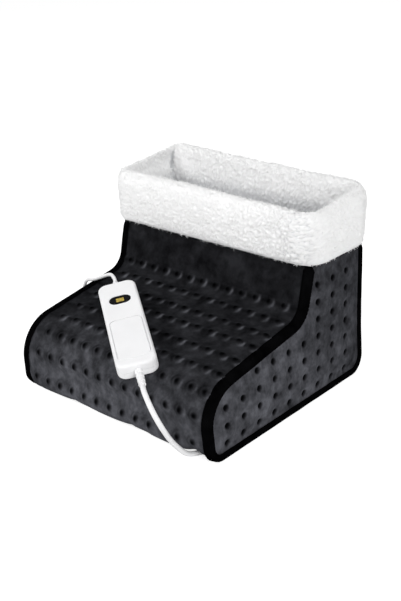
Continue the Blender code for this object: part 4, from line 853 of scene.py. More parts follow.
back_start = HEEL_STATION + GAP / 2
knee = STRIP.find(lambda p: p.y > KNEE_HEIGHT, back_start)
BACK_ROWS, place = [], back_start + ROW_MARGIN * 2
while place < knee - ROW_MARGIN:
    BACK_ROWS.append(place)
    place = back_start + ROW_MARGIN * 2 + ROW_PITCH * len(BACK_ROWS)
back = strip_cloth(
    "quilted_back", back_start, RIM_STATION, COLUMNS, BACK_ROWS, VELVET, PAD_SLACK, PAD_PRESSURE
)
hand_over(back, "quilted_velvet", "back_panel", fill=0.6)

BAND_SLACK, BAND_PRESSURE, BAND_SUNK = 0.004, 1.0, 0.4 * MM
band_end = SEAM_STATION - GAP / 2
band = strip_cloth("neck_cloth", 0.0, band_end, [], [], BAND_VELVET, BAND_SLACK, BAND_PRESSURE, 1, BAND_SUNK)
hand_over(band, "plain_velvet", "neck_band", fill=0.5)


# %% [markdown]
# The side panels have a curved border, so their pattern is made the other way round: a regular grid
# with a line on every dot is cut by the border, triangulated once, and its pairs of triangles
# are joined back into squares, which swell and subdivide far more evenly.

# %% Side panels
def side_border(inset):
    path = Path(outline(inset, inset, EDGE_TURN))
    count = round(path.marks[-1] / CELL)
    points = [path.at(path.marks[-1] * k / count)[0] for k in range(count + 1)]
    first, last = points[0], points[-1]
    count = round((last.x - first.x) / CELL)
    return points + [last.lerp(first, k / count) for k in range(1, count)]


GLAND, GLAND_SPOT, GLAND_CLEAR = Vector((112 * MM, 18.5 * MM)), 15 * MM, 5.5 * MM
SIDE_CELLS, SIDE_COLUMNS, SIDE_ROWS = (8, 6), range(-40, 80), range(-10, 70)
# The first holds the way, the painted highlight and the painted shade beside the side panels' dots.
SIDE_PAINTED_LOBES, FIRST_ROW, EDGE_ROOM = ((-0.7, 0.7), 0.3, 0.2), 0.75, 0.55
# Painted light on the side panels: lightest low at the toe, with painted shade toward the top and back.
SIDE_LIGHT, SIDE_SHADE, SIDE_SHADE_START, SIDE_SHADE_RUN = 0.88, 0.52, 190 * MM, 200 * MM


def side_pattern(sign, border):
    """The places of the sewn dots, and of the grid's crossings inside the border."""
    step = Vector((SIDE_PITCH / SIDE_CELLS[0], SIDE_RISE / SIDE_CELLS[1]))
    first = Vector((TOE_Y + SIDE_FIRST, SIDE_RISE * FIRST_ROW))
    dots, inner = [], []
    for i in SIDE_COLUMNS:
        for j in SIDE_ROWS:
            place = first + Vector((step.x * i, step.y * j))
            if not inside(place, border):
                continue
            edge = edge_distance(place, border)
            on_dot = i % SIDE_CELLS[0] == 0 and j % SIDE_CELLS[1] == 0
            spared = sign < 0 and (place - GLAND).length < GLAND_SPOT + GLAND_CLEAR
            if on_dot and place.y < KNEE_HEIGHT and edge > SIDE_MARGIN and not spared:
                dots.append(place)
            if edge > CELL * EDGE_ROOM:
                inner.append(place)
    return dots, inner


def side_cloth(name, sign, slack, pressure):
    """A side panel: laid on the boot, swelled, made fine, pressed in and given its thickness."""
    border = side_border(SIDE_INSET)
    dots, inner = side_pattern(sign, border)
    found = delaunay_2d_cdt(border + inner, [], [list(range(len(border)))], 1, 1e-6)
    shape = bmesh.new()
    verts, held = [], []
    for k, (point, sources) in enumerate(zip(found[0], found[3])):
        edge = any(s < len(border) for s in sources)
        dot = any((point - d).length < 1e-5 for d in dots)
        lift = 0.0 if edge else swell(edge_distance(point, border), point.y) - PUFF_SUNK
        if dot:
            lift -= DOT_DEPTH - PUFF_SUNK
        if sign < 0:
            lift *= smooth((point - GLAND).length / GLAND_SPOT - 1)
        verts.append(shape.verts.new(side_point(sign, point, lift)))
        near_gland = sign < 0 and (point - GLAND).length < GLAND_SPOT
        if edge or dot or near_gland:
            held.append(k)
    for face in found[2]:
        shape.faces.new([verts[i] for i in (face if sign > 0 else reversed(face))])
    bmesh.ops.join_triangles(
        shape, faces=shape.faces, angle_face_threshold=SHARP, angle_shape_threshold=SHARP
    )
    mesh = meshed(shape, name)
    store(mesh, "flat_u", [point.x for point in found[0]])
    store(mesh, "flat_v", [point.y for point in found[0]])
    piece = link_piece(name, mesh, VELVET)
    let_swell(piece, held, slack, pressure)
    mesh = made_fine(piece, 2)
    # Painted light on the sides, with painted shade toward the top and back.
    away = stored(mesh, "flat_u") - TOE_Y + stored(mesh, "flat_v")
    painted_shade = [SIDE_SHADE * smooth((float(far) - SIDE_SHADE_START) / SIDE_SHADE_RUN) for far in away]
    painted_light = np.array([SIDE_LIGHT - part for part in painted_shade])
    press_dots(mesh, [(d.x, d.y) for d in dots], painted_light, np.zeros(len(painted_light)), *SIDE_PAINTED_LOBES)
    close_side(mesh, sign)
    return piece


def close_side(mesh, sign):
    """Gives a side panel its thickness: an inner face parallel to the outer border."""
    shape = bmesh.new()
    shape.from_mesh(mesh)
    shape.verts.ensure_lookup_table()
    open_edges = [e for e in shape.edges if len(e.link_faces) == 1]
    onward = {}
    for edge in open_edges:
        loop = edge.link_loops[0]
        onward[loop.vert] = loop.link_loop_next.vert
    ring = [open_edges[0].link_loops[0].vert]
    while onward[ring[-1]] is not ring[0]:
        ring.append(onward[ring[-1]])
    low = []
    for vert in ring:
        x = HALF - BINDING_WIDTH - drawn_in(vert.co.z)
        low.append(shape.verts.new((sign * x, vert.co.y, vert.co.z)))
    for i in range(len(ring)):
        j = (i + 1) % len(ring)
        shape.faces.new((ring[j], ring[i], low[i], low[j]))
    flat = [Vector((v.co.y, v.co.z)) for v in low]
    found = delaunay_2d_cdt(flat, [], [list(range(len(flat)))], 1, 1e-7)
    verts = [low[s[0]] for s in found[3]]
    for face in found[2]:
        shape.faces.new([verts[i] for i in face])
    closed_off(shape, mesh)


SIDE_SLACK = 0.004
for name, sign, node_name in (
    ("quilted_side_right", 1, "side_panel_right"), ("quilted_side_left", -1, "side_panel_left"),
):
    side = side_cloth(name, sign, SIDE_SLACK, PAD_PRESSURE)
    hand_over(side, "quilted_velvet", node_name, fill=0.6)


# %% [markdown]
# ## Sole
#
# Under the boot lies a plain cloth between the two bound edges. It hardly shows, so it is a
# slightly uneven sheet with the same edges, and no simulation.

# %% Sole
SOLE_SWELL, SOLE_EDGE_RUN, SOLE_UNEVEN, SOLE_WAVES = 2.5 * MM, 12 * MM, 0.5 * MM, 25
sole_start, sole_end = TOE_STATION + GAP / 2, HEEL_STATION - GAP / 2
sole_marks = grid_marks(sole_start, sole_end, [])
sole_xs = grid_marks(-STRIP_HALF, STRIP_HALF, [])


def sole_sheet():
    shape = bmesh.new()
    grid = []
    for x in sole_xs:
        line = []
        for station in sole_marks:
            edge = min(STRIP_HALF - abs(x), station - sole_start, sole_end - station)
            uneven = SOLE_UNEVEN * noise.noise(Vector((x, station, 0.0)) * SOLE_WAVES)
            lift = SOLE_SWELL * smooth(edge / SOLE_EDGE_RUN) + uneven
            line.append(shape.verts.new(strip_point(x, station, lift if edge > 0 else 0.0)))
        grid.append(line)
    weave(shape, grid)
    low = [[strip_point(x, s, -SOLE_THICKNESS) for s in sole_marks] for x in (sole_xs[0], sole_xs[-1])]
    low = [[shape.verts.new(p) for p in line] for line in low]
    for i in range(len(sole_marks) - 1):
        shape.faces.new((low[0][i], low[1][i], low[1][i + 1], low[0][i + 1]))
        shape.faces.new((grid[0][i], grid[0][i + 1], low[0][i + 1], low[0][i]))
        shape.faces.new((grid[-1][i + 1], grid[-1][i], low[1][i], low[1][i + 1]))
    for k in (0, -1):
        shape.faces.new([line[k] for line in grid] + [low[1][k], low[0][k]])
    bmesh.ops.recalc_face_normals(shape, faces=shape.faces)
    mesh = meshed(shape, "sole_cloth")
    for name in ("crushed_and_shaded", "painted_light"):
        store(mesh, name, np.zeros(len(mesh.vertices)))
    return mesh


sole = link_piece("sole_cloth", sole_sheet(), BAND_VELVET)
sole.data.set_sharp_from_angle(angle=SHARP)
hand_over(sole, "sole_cloth", "sole_panel")


# %% [markdown]
# ## Binding
#
# The raw edges of the panels are closed by a strip of black woven tape, folded over them and
# sewn. It shows two faces: a narrow one on the strip's side and a wider one on the side panel,
# with a crease between them. It is one sweep of that section along the outline, a little uneven.

# %% Binding tape
TAPE_SECTION = (
    (1.00, 0.30), (1.00, 0.20), (0.80, 0.10), (0.60, 0.03), (0.40, -0.01), (0.22, 0.00), (0.10, 0.035),
    (0.055, 0.085), (0.01, 0.10), (-0.03, 0.25), (-0.045, 0.45), (-0.02, 0.65), (0.06, 0.85), (0.14, 1.00),
    (0.30, 1.00), (1.00, 1.00),
)
LIP_SHARES = (
    (1.00, 0.24), (1.27, 0.15), (1.30, 0.02), (1.08, -0.08), (0.62, -0.06), (0.30, -0.01), (0.12, 0.04),
    (0.06, 0.085), (0.01, 0.11), (-0.05, 0.28), (-0.10, 0.60), (-0.11, 1.06), (0.00, 1.28), (0.13, 1.26),
    (0.20, 1.00), (1.00, 1.00),
)
LIP_END, LIP_FADE = 167 * MM, 4.5 * MM
TAPE_STEP, TAPE_UNEVEN, TAPE_WAVES, TAPES_APART = 2.2 * MM, 0.35, 40, 3.0
TAPE_SHARP = math.radians(75)


def tape_line():
    """Even places along the outer edge of the tape, each with the way in from it."""
    line = Path(outline(0.0, 0.0, EDGE_TURN))
    count = round(line.marks[-1] / TAPE_STEP)
    return [line.at(line.marks[-1] * k / count) for k in range(count + 1)]


def tape_sweep(name, sign):
    shape = bmesh.new()
    rings = []
    for point, inward in tape_line():
        ring = []
        laid = 1 - smooth((point.y - LIP_END) / LIP_FADE)
        for plain, lip in zip(TAPE_SECTION, LIP_SHARES):
            across, deep = (a + (b - a) * laid for a, b in zip(plain, lip))
            place = point + inward * deep * BINDING_DEPTH
            x = HALF - drawn_in(max(place.y, 0.0)) - across * BINDING_WIDTH
            waves = Vector((sign * TAPES_APART, point.x, point.y)) * TAPE_WAVES + Vector((across, deep, 0.0))
            x += noise.noise(waves) * TAPE_UNEVEN * MM * (1 - across)
            ring.append(shape.verts.new((sign * x, place.x + FOOTPRINT_SHIFT, max(place.y, 0.0))))
        rings.append(ring)
    wrap(shape, rings)
    shape.faces.new(rings[0])
    shape.faces.new(list(reversed(rings[-1])))
    bmesh.ops.recalc_face_normals(shape, faces=shape.faces)
    return meshed(shape, name)


for name, sign, node_name in (("tape_right", 1, "binding_right"), ("tape_left", -1, "binding_left")):
    tape = link_piece(name, tape_sweep(name, sign), TAPE)
    tape.data.set_sharp_from_angle(angle=TAPE_SHARP)
    hand_over(tape, "binding_tape", node_name)


# %% [markdown]
# ## Fleece cuff
#
# The cuff is a thick curly fleece folded over the rim. Its curls are small domes with creases
# between them. A cell pattern gives the domes: its value is how much further the second nearest
# seed is than the nearest, so it is zero exactly on the creases. The vertices are moved out by it,
# and the same value paints shade into the creases, more where the curls part most. Painted shade
# also darkens the fold at the left end and the deep inside of the mouth. Blender's vector noise
# starts from the clock unless it is seeded, so the seed is set first, and each run gives the same curls.

# %% Curls
CURL_SIZE, CURL_BEND, CURL_ROUND, FINE_SIZE, FINE_HEIGHT = 5.2 * MM, 0.55, 0.55, 1.3 * MM, 0.10
BEND_SIZE, DOME_STEEP = 0.8, 1.5
NOISE_SEED = 7
noise.seed_set(NOISE_SEED)

# What the attribute of curls and painted shade holds where fleece has no curls, on the cuff and on the
# lining.
CUFF_PLAIN, LINING_PLAIN = 0.5, 0.3


def curl_height(place):
    """0 in the creases and 1 on top of the curls."""
    bent = place / CURL_SIZE + noise.noise_vector(place / CURL_SIZE * BEND_SIZE) * CURL_BEND
    distances, _ = noise.voronoi(bent)
    dome = min((distances[1] - distances[0]) * DOME_STEEP, 1.0)
    fine = noise.noise(place / FINE_SIZE) * FINE_HEIGHT
    return max(0.0, dome ** CURL_ROUND + fine)


CUFF_BOTTOM, CUFF_TOP, CUFF_TILT, CUFF_LEAN = 173 * MM, 242 * MM, 6 * MM, 3 * MM
CUFF_OUT, CUFF_FRONT_OUT, CUFF_BULGE = 5.5 * MM, 6.0 * MM, 6.0 * MM
CUFF_RADIUS, LEFT_RADIUS, MOUTH_RADIUS, SLOT_RADIUS = 28 * MM, 16 * MM, 8 * MM, 3 * MM
SKIN_SHARES = (
    (0.00, 0.00), (0.55, 0.08), (0.90, 0.30), (1.00, 0.62), (0.70, 0.84), (-0.10, 0.95), (-1.00, 1.00),
    (-1.90, 0.97), (-2.60, 0.89), (-3.10, 0.76), (-4.00, 0.50), (-4.00, 0.20), (-4.00, -0.18),
)
BEND_STEPS = 24


def read_smooth(points, count):
    """Points of a smooth line through a few given ones."""
    padded = [points[0] * 2 - points[1]] + points + [points[-1] * 2 - points[-2]]
    fine = []
    for before, start, end, after in zip(padded, padded[1:], padded[2:], padded[3:]):
        for k in range(BEND_STEPS):
            t = k / BEND_STEPS
            fine.append(0.5 * (
                2 * start + (end - before) * t + (2 * before - 5 * start + 4 * end - after) * t ** 2
                + (3 * start - before - 3 * end + after) * t ** 3
            ))
    fine.append(points[-1])
    marks = [0.0]
    for a, b in zip(fine, fine[1:]):
        marks.append(marks[-1] + (b - a).length)
    read, i = [], 0
    for k in range(count + 1):
        mark = marks[-1] * k / count
        while i < len(fine) - 2 and marks[i + 1] < mark:
            i += 1
        read.append(fine[i].lerp(fine[i + 1], (mark - marks[i]) / (marks[i + 1] - marks[i])))
    return read


CUFF_ROWS, LONG_SIDE, SHORT_SIDE, CORNER = 120, 230, 66, 18


def round_rectangle(half_x, front, back, radius, left_radius=None):
    """Points spread evenly in number round each side and corner, so that rings match one another."""
    half_y, middle = (back - front) / 2, (back + front) / 2
    points, corners = [], []
    for sign_x, sign_y in ((1, 1), (-1, 1), (-1, -1), (1, -1)):
        bend = radius if sign_x > 0 else left_radius or radius
        corners.append((Vector((sign_x * (half_x - bend), sign_y * (half_y - bend))), bend))
    for quarter, (centre, bend) in enumerate(corners):
        for k in range(CORNER):
            angle = math.radians(90) * (quarter + k / CORNER)
            points.append(centre + Vector((math.cos(angle), math.sin(angle))) * bend)
        angle = math.radians(90) * (quarter + 1)
        start = centre + Vector((math.cos(angle), math.sin(angle))) * bend
        next_centre, next_bend = corners[(quarter + 1) % 4]
        end = next_centre + Vector((math.cos(angle), math.sin(angle))) * next_bend
        steps = LONG_SIDE if quarter % 2 == 0 else SHORT_SIDE
        points += [start.lerp(end, k / steps) for k in range(steps)]
    return [Vector((p.x, p.y + middle)) for p in points]


FOLD_THIN, FOLD_FORWARD, FOLD_RUN, FOLD_WIDTH = 7 * MM, 8 * MM, 30 * MM, 3.5 * MM
# The last of these is how much shade is painted into the fold.
FOLD_LEAST, FOLD_MORE, FOLD_CORNER, FOLD_SHADE = 0.35, 0.65, 0.7, 0.9
INNER_START, INNER_RUN, INNER_END, LEFT_SHARPER = 1.2, 2.0, 4.0, 1.6
NEAR_SHELL, SHELL_FADE, MOUTH_SHADE, MOUTH_START = 8 * MM, 14 * MM, 36 * MM, 0.15
CURL_SPOT, SPOT_WIDE, SPOT_DEEP = Vector((134 * MM, 36 * MM)), 52 * MM, 30 * MM
CURL_LEAST, CURL_INSIDE, CURL_AT_SPOT = 0.24, 0.22, 0.60
CURL_MIDDLE, CURL_HEIGHT, CURL_GROWS = 0.6, 1.7, 1.4
# The third is how much shade is painted deep inside the mouth.
SLOW_WAVES, SLOW_HEIGHT, MOUTH_PAINTED_SHADE, HEM_ROWS = 22, 1.6, 0.72, 6


def curl_strength(place, inner):
    """The curls part most at the front right corner, some inside, and lie close everywhere else."""
    across, deep = (place.x - CURL_SPOT.x) / SPOT_WIDE, (place.y - CURL_SPOT.y) / SPOT_DEEP
    return CURL_LEAST + CURL_INSIDE * inner + CURL_AT_SPOT * math.exp(-across ** 2 - deep ** 2)


def cuff_mesh():
    rise = CUFF_TOP - CUFF_BOTTOM
    skin = [Vector((out * CUFF_BULGE, share * rise)) for out, share in SKIN_SHARES]
    profile = read_smooth(skin, CUFF_ROWS)
    front = NECK_KNEE_Y + SQUEEZE - CUFF_FRONT_OUT
    back = BACK_KNEE_Y + CUFF_OUT
    rings, folds = [], []
    for step, point in enumerate(profile):
        out, share = point.x, max(point.y / rise, 0.0)
        radius = max(CUFF_RADIUS + out, MOUTH_RADIUS)
        left = max(LEFT_RADIUS + out * LEFT_SHARPER, SLOT_RADIUS)
        leaning = min(share, 1.0) * smooth((out + INNER_END * CUFF_BULGE) / CUFF_BULGE)
        half_x = HALF + CUFF_OUT + out
        inner = smooth((-INNER_START * CUFF_BULGE - out) / (INNER_RUN * CUFF_BULGE))
        above_shell = smooth((CUFF_BOTTOM + point.y - SHELL_HEIGHT + NEAR_SHELL) / SHELL_FADE)
        ring = []
        for flat in round_rectangle(half_x, front - out, back + out, radius, left):
            y_share = (flat.y - (front + back) / 2) / ((back - front) / 2)
            rise_here = leaning * (CUFF_TILT * y_share - CUFF_LEAN * flat.x / half_x)
            left_end = smooth((-flat.x - half_x + FOLD_RUN) / FOLD_RUN)
            back_half = smooth(y_share + 0.5)
            thin = inner * left_end * (FOLD_LEAST + FOLD_MORE * above_shell) * FOLD_THIN
            forward = inner * left_end * back_half * FOLD_FORWARD
            ring.append(Vector((
                flat.x - thin, flat.y - forward + FOOTPRINT_SHIFT, CUFF_BOTTOM + point.y + rise_here
            )))
        rings.append(ring)
        corner_x = -half_x - inner * FOLD_THIN * FOLD_CORNER
        corner_y = back + out - inner * FOLD_FORWARD + FOOTPRINT_SHIFT
        folds.append((inner, Vector((corner_x, corner_y))))
    shape = bmesh.new()
    rows = [[shape.verts.new(p) for p in ring] for ring in rings]
    top_depth = PANEL_SET_IN + PANEL_THICKNESS + GAP
    slot_in = (HALF - SQUEEZE - BINDING_WIDTH - GAP, NECK_TOP_Y + top_depth, BACK_TOP_Y - top_depth)
    slot_out = (HALF - SQUEEZE + GAP, NECK_TOP_Y - GAP, BACK_TOP_Y + GAP)
    plain = []
    for sizes, radius, height in (
        (slot_in, SLOT_RADIUS, LINING_TOP + GAP), (slot_in, SLOT_RADIUS, SHELL_HEIGHT + GAP),
        (slot_out, SLOT_RADIUS / 2, SHELL_HEIGHT + GAP), (slot_out, SLOT_RADIUS / 2, KNEE_TOP),
    ):
        flats = round_rectangle(*sizes, radius)
        plain.append([shape.verts.new((p.x, p.y + FOOTPRINT_SHIFT, height)) for p in flats])
    low = (CUFF_BOTTOM - KNEE_HEIGHT) / (KNEE_TOP - KNEE_HEIGHT)
    low_sizes = (
        HALF - SQUEEZE * low + GAP, NECK_KNEE_Y + (NECK_TOP_Y - NECK_KNEE_Y) * low - GAP,
        BACK_KNEE_Y - SQUEEZE * low + GAP,
    )
    flats = round_rectangle(*low_sizes, SLOT_RADIUS / 2)
    plain.append([shape.verts.new((p.x, p.y + FOOTPRINT_SHIFT, CUFF_BOTTOM)) for p in flats])
    loop = rows + plain
    wrap(shape, loop + loop[:1])
    bmesh.ops.recalc_face_normals(shape, faces=shape.faces)
    shape.normal_update()
    shape.verts.index_update()
    values = [CUFF_PLAIN] * len(shape.verts)
    for step, (row, (inner, corner)) in enumerate(zip(rows, folds)):
        hem = smooth(step / HEM_ROWS)
        for vert in row:
            # The curl height also paints shade into the creases, more where the curls part most.
            curl_and_shade, strength = curl_height(vert.co), curl_strength(vert.co, inner)
            # Painted shade in the fold at the left end, and deep inside the mouth.
            fold = inner * math.exp(-((vert.co.xy - corner).length / FOLD_WIDTH) ** 2)
            slow = noise.noise(vert.co * SLOW_WAVES) * SLOW_HEIGHT * MM
            deep = inner * smooth((CUFF_TOP - vert.co.z) / MOUTH_SHADE - MOUTH_START)
            values[vert.index] = (1 - (1 - curl_and_shade) * strength) * (1 - FOLD_SHADE * fold)
            values[vert.index] *= 1 - MOUTH_PAINTED_SHADE * deep
            curled = (curl_and_shade - CURL_MIDDLE) * (CURL_HEIGHT + CURL_GROWS * strength) * MM
            height = curled + slow * (1 - fold)
            vert.co += vert.normal * (height * hem)
    mesh = meshed(shape, "curly_cuff")
    store(mesh, "curl_and_shade", values)
    return mesh


cuff = link_piece("curly_cuff", cuff_mesh(), FLEECE)
print(f"cuff: {len(cuff.data.polygons)} faces")


# %% [markdown]
# Single tufts of pile stand out of the fleece and make its edge soft. They repeat thousands of
# times, so a Geometry Nodes tree scatters one small cone over the cuff's faces: denser on the
# rim, leaning at random from a fixed seed, and realized, because only real faces are exported.

# %% A tree with named inputs, and its use
def new_tree(name, **sizes):
    """A Geometry Nodes tree with one geometry in and out, and a named input for each size."""
    tree = bpy.data.node_groups.new(name, "GeometryNodeTree")
    tree.interface.new_socket("Geometry", in_out="INPUT", socket_type="NodeSocketGeometry")
    tree.interface.new_socket("Geometry", in_out="OUTPUT", socket_type="NodeSocketGeometry")
    for label, value in sizes.items():
        kind = "NodeSocketInt" if isinstance(value, int) else "NodeSocketFloat"
        tree.interface.new_socket(label, in_out="INPUT", socket_type=kind)
    return tree, node(tree, "NodeGroupInput"), node(tree, "NodeGroupOutput")


def grown(name, source, tree, slot, **sizes):
    """Runs the tree on a copy of the source mesh, and keeps the result as a plain mesh of its own."""
    carrier = placed(name, source.copy())
    repeat = carrier.modifiers.new("repeat", "NODES")
    repeat.node_group = tree
    for item in tree.interface.items_tree:
        if item.item_type == "SOCKET" and item.in_out == "INPUT" and item.name in sizes:
            repeat[item.identifier] = sizes[item.name]
    mesh = keep_result(carrier, repeat)
    mesh.name = name
    print(f"{name}: {len(mesh.polygons)} faces")
    hand_over(carrier, slot)


# %% Tufts on the cuff
TUFT_SIDES, TUFT_TIP, TUFT_LEAST, TUFT_MOST = 4, 0.05 * MM, 0.5, 1.25
TUFT_SIZES = {"Density": 300000.0, "Length": 3.0 * MM, "Width": 0.30 * MM, "Lean": 1.0, "Seed": 7}


def tuft_tree(finish):
    tree, given, result = new_tree("tufts_of_pile", **TUFT_SIZES)
    where = node(tree, "GeometryNodeInputNamedAttribute", data_type="FLOAT")
    where.inputs["Name"].default_value = "fluff"
    amount = node(tree, "ShaderNodeMath", operation="MULTIPLY")
    scatter = node(tree, "GeometryNodeDistributePointsOnFaces", distribute_method="RANDOM")
    cone = node(tree, "GeometryNodeMeshCone", fill_type="NONE")
    cone.inputs["Vertices"].default_value = TUFT_SIDES
    cone.inputs["Radius Top"].default_value = TUFT_TIP
    lean = node(tree, "FunctionNodeRandomValue", data_type="FLOAT_VECTOR")
    less = node(tree, "ShaderNodeMath", operation="MULTIPLY")
    less.inputs[1].default_value = -1.0
    turn = node(tree, "FunctionNodeRotateRotation", rotation_space="LOCAL")
    to_turn = node(tree, "FunctionNodeEulerToRotation")
    size = node(tree, "FunctionNodeRandomValue", data_type="FLOAT")
    size.inputs[2].default_value, size.inputs[3].default_value = TUFT_LEAST, TUFT_MOST
    place = node(tree, "GeometryNodeInstanceOnPoints")
    real = node(tree, "GeometryNodeRealizeInstances")
    round_off = node(tree, "GeometryNodeSetShadeSmooth")
    coat = node(tree, "GeometryNodeSetMaterial")
    coat.inputs["Material"].default_value = finish
    chain(
        tree, (where.outputs["Attribute"], amount.inputs[0]), (given.outputs["Density"], amount.inputs[1]),
        (given.outputs["Geometry"], scatter.inputs["Mesh"]), (amount.outputs[0], scatter.inputs["Density"]),
        (given.outputs["Seed"], scatter.inputs["Seed"]), (given.outputs["Length"], cone.inputs["Depth"]),
        (given.outputs["Width"], cone.inputs["Radius Bottom"]), (given.outputs["Lean"], less.inputs[0]),
        (less.outputs[0], lean.inputs[0]), (given.outputs["Lean"], lean.inputs[1]),
        (lean.outputs[0], to_turn.inputs[0]), (scatter.outputs["Rotation"], turn.inputs["Rotation"]),
        (to_turn.outputs[0], turn.inputs["Rotate By"]), (scatter.outputs["Points"], place.inputs["Points"]),
        (cone.outputs["Mesh"], place.inputs["Instance"]), (turn.outputs[0], place.inputs["Rotation"]),
        (size.outputs[1], place.inputs["Scale"]), (place.outputs[0], real.inputs[0]),
        (real.outputs[0], round_off.inputs[0]), (round_off.outputs[0], coat.inputs[0]),
        (coat.outputs[0], result.inputs[0]),
    )
    return tree


RIM_REACH, FLUFF_LEAST, FLUFF_MORE = 9 * MM, 0.35, 0.65
heights = coordinates(cuff.data)[:, 2]
curled = stored(cuff.data, "curl_and_shade") != CUFF_PLAIN
on_rim = np.exp(-((heights - CUFF_TOP) / RIM_REACH) ** 2)
store(cuff.data, "fluff", np.where(curled, FLUFF_LEAST + FLUFF_MORE * on_rim, 0.0))
# The tufts take the painted crease shade of the cuff under them.
TUFT_FLEECE = fleece_finish("fleece_tufts", (0.55, 0.56, 0.58), (0.97, 0.97, 0.97))
grown("cuff_tufts", cuff.data, tuft_tree(TUFT_FLEECE), "white_fleece", **TUFT_SIZES)
hand_over(cuff, "white_fleece", "fleece_cuff", fill=0.7)


# %% [markdown]
# The tape is sewn down with a row of black stitches along each of its edges. They follow a
# path, so another tree turns a line of points into a curve, reads it at an even pitch, and sets
# one small thread along it at each place. One set of threads is drawn for each side of the boot.

# %% Stitches along the tape
STITCH_ROWS, THREAD_SIDES = ((1.04, -0.10, 2 * MM), (-0.13, 1.04, -1.0)), 6
STITCH_SIZES = {"Pitch": 4.4 * MM, "Stitch": 3.0 * MM, "Thread": 0.38 * MM}
THREAD = fibre_finish("black_thread", (0.0015, 0.0015, 0.0017), 2600.0, Specular_IOR_Level=0.0)


def stitch_tree(finish):
    tree, given, result = new_tree("stitches_along_a_line", **STITCH_SIZES)
    line = node(tree, "GeometryNodeMeshToCurve")
    places = node(tree, "GeometryNodeCurveToPoints", mode="LENGTH")
    thread = node(tree, "GeometryNodeMeshCylinder")
    thread.inputs["Vertices"].default_value = THREAD_SIDES
    lay = node(tree, "FunctionNodeAlignRotationToVector", axis="Z")
    put = node(tree, "GeometryNodeInstanceOnPoints")
    real = node(tree, "GeometryNodeRealizeInstances")
    coat = node(tree, "GeometryNodeSetMaterial")
    coat.inputs["Material"].default_value = finish
    chain(
        tree,
        (given.outputs["Geometry"], line.inputs["Mesh"]), (line.outputs["Curve"], places.inputs["Curve"]),
        (given.outputs["Pitch"], places.inputs["Length"]), (given.outputs["Stitch"], thread.inputs["Depth"]),
        (given.outputs["Thread"], thread.inputs["Radius"]), (places.outputs["Tangent"], lay.inputs["Vector"]),
        (places.outputs["Points"], put.inputs["Points"]), (thread.outputs["Mesh"], put.inputs["Instance"]),
        (lay.outputs[0], put.inputs["Rotation"]), (put.outputs[0], real.inputs[0]),
        (real.outputs[0], coat.inputs[0]), (coat.outputs[0], result.inputs[0]),
    )
    return tree


def stitch_lines(name, sign):
    """The two lines of places where the needle goes in: over the strip, and on the side."""
    verts, edges = [], []
    for across, deep, lowest in STITCH_ROWS:
        before = None
        for point, inward in tape_line():
            place = point + inward * deep * BINDING_DEPTH
            if point.y > LIP_END or place.y < lowest:
                before = None
                continue
            x = HALF - drawn_in(max(place.y, 0.0)) - across * BINDING_WIDTH
            verts.append((sign * x, place.x + FOOTPRINT_SHIFT, place.y))
            if before is not None:
                edges.append((before, len(verts) - 1))
            before = len(verts) - 1
    mesh = bpy.data.meshes.new(name)
    mesh.from_pydata(verts, edges, [])
    return mesh


stitching = stitch_tree(THREAD)
for name, sign in (("stitches_right", 1), ("stitches_left", -1)):
    grown(name, stitch_lines(name, sign), stitching, "binding_tape", **STITCH_SIZES)


# %% [markdown]
# ## Lining
#
# The same fleece, a little flatter and in a darker copy that paints the shade inside, lines the boot.
# Each wall is a sheet with curls on its inner face, laid where the frame has its plain solid, and the
# footbed lies on the padded sole.

# %% Lining walls and footbed
LINING_CELL, LINING_COLUMNS = 2.4 * MM, 112
LINING_CURL, LINING_SUNK = 1.8, 1.2


def spread(low, high):
    count = max(1, round((high - low) / LINING_CELL))
    return [low + (high - low) * k / count for k in range(count + 1)]


def rim(rows):
    return rows[0] + [row[-1] for row in rows[1:]] + rows[-1][-2::-1] + [row[0] for row in rows[-2:0:-1]]


def curly_sheet(name, rows, thickness_rows):
    """A closed sheet: rows give the curly face, thickness_rows the plain one behind it."""
    shape = bmesh.new()
    near, far = ([[shape.verts.new(p) for p in row] for row in face] for face in (rows, thickness_rows))
    wrap(shape, near, closed=False)
    for a, b in zip(far, far[1:]):
        for i in range(len(a) - 1):
            shape.faces.new((a[i + 1], a[i], b[i], b[i + 1]))
    rim_near, rim_far = rim(near), rim(far)
    for i in range(len(rim_near)):
        j = (i + 1) % len(rim_near)
        shape.faces.new((rim_near[j], rim_near[i], rim_far[i], rim_far[j]))
    bmesh.ops.recalc_face_normals(shape, faces=shape.faces)
    shape.normal_update()
    shape.verts.index_update()
    values = [LINING_PLAIN] * len(shape.verts)
    for row in near[1:-1]:
        for vert in row[1:-1]:
            curl_and_shade = curl_height(vert.co)
            # The curl height also paints shade into the lining's creases.
            values[vert.index] = curl_and_shade
            vert.co += vert.normal * (curl_and_shade * LINING_CURL * MM - LINING_SUNK * MM)
    mesh = meshed(shape, name)
    store(mesh, "curl_and_shade", values)
    return link_piece(name, mesh, SHADED_LINING_FLEECE)


def lining_strip(name, start, end):
    xs, marks = spread(-STRIP_HALF, STRIP_HALF), spread(start, end)
    near = [[strip_point(x, s, -LINING_OUT - LINING_THICKNESS) for x in xs] for s in marks]
    far = [[strip_point(x, s, -LINING_OUT) for x in xs] for s in marks]
    return curly_sheet(name, near, far)


lining_front = STRIP.find(lambda p: p.y < LINING_TOP)
lining_toe = STRIP.find(lambda p: p.y < FOOTBED_TOP + 3 * GAP)
lining_heel = STRIP.find(lambda p: p.y > FOOTBED_TOP + GAP, HEEL_STATION)
lining_back = STRIP.find(lambda p: p.y > LINING_TOP, lining_heel)
for name, start, end, node_name in (
    ("fleece_front", lining_front, lining_toe, "lining_front"),
    ("fleece_back", lining_heel, lining_back, "lining_back"),
):
    hand_over(lining_strip(name, start, end), "white_fleece", node_name, fill=0.4)


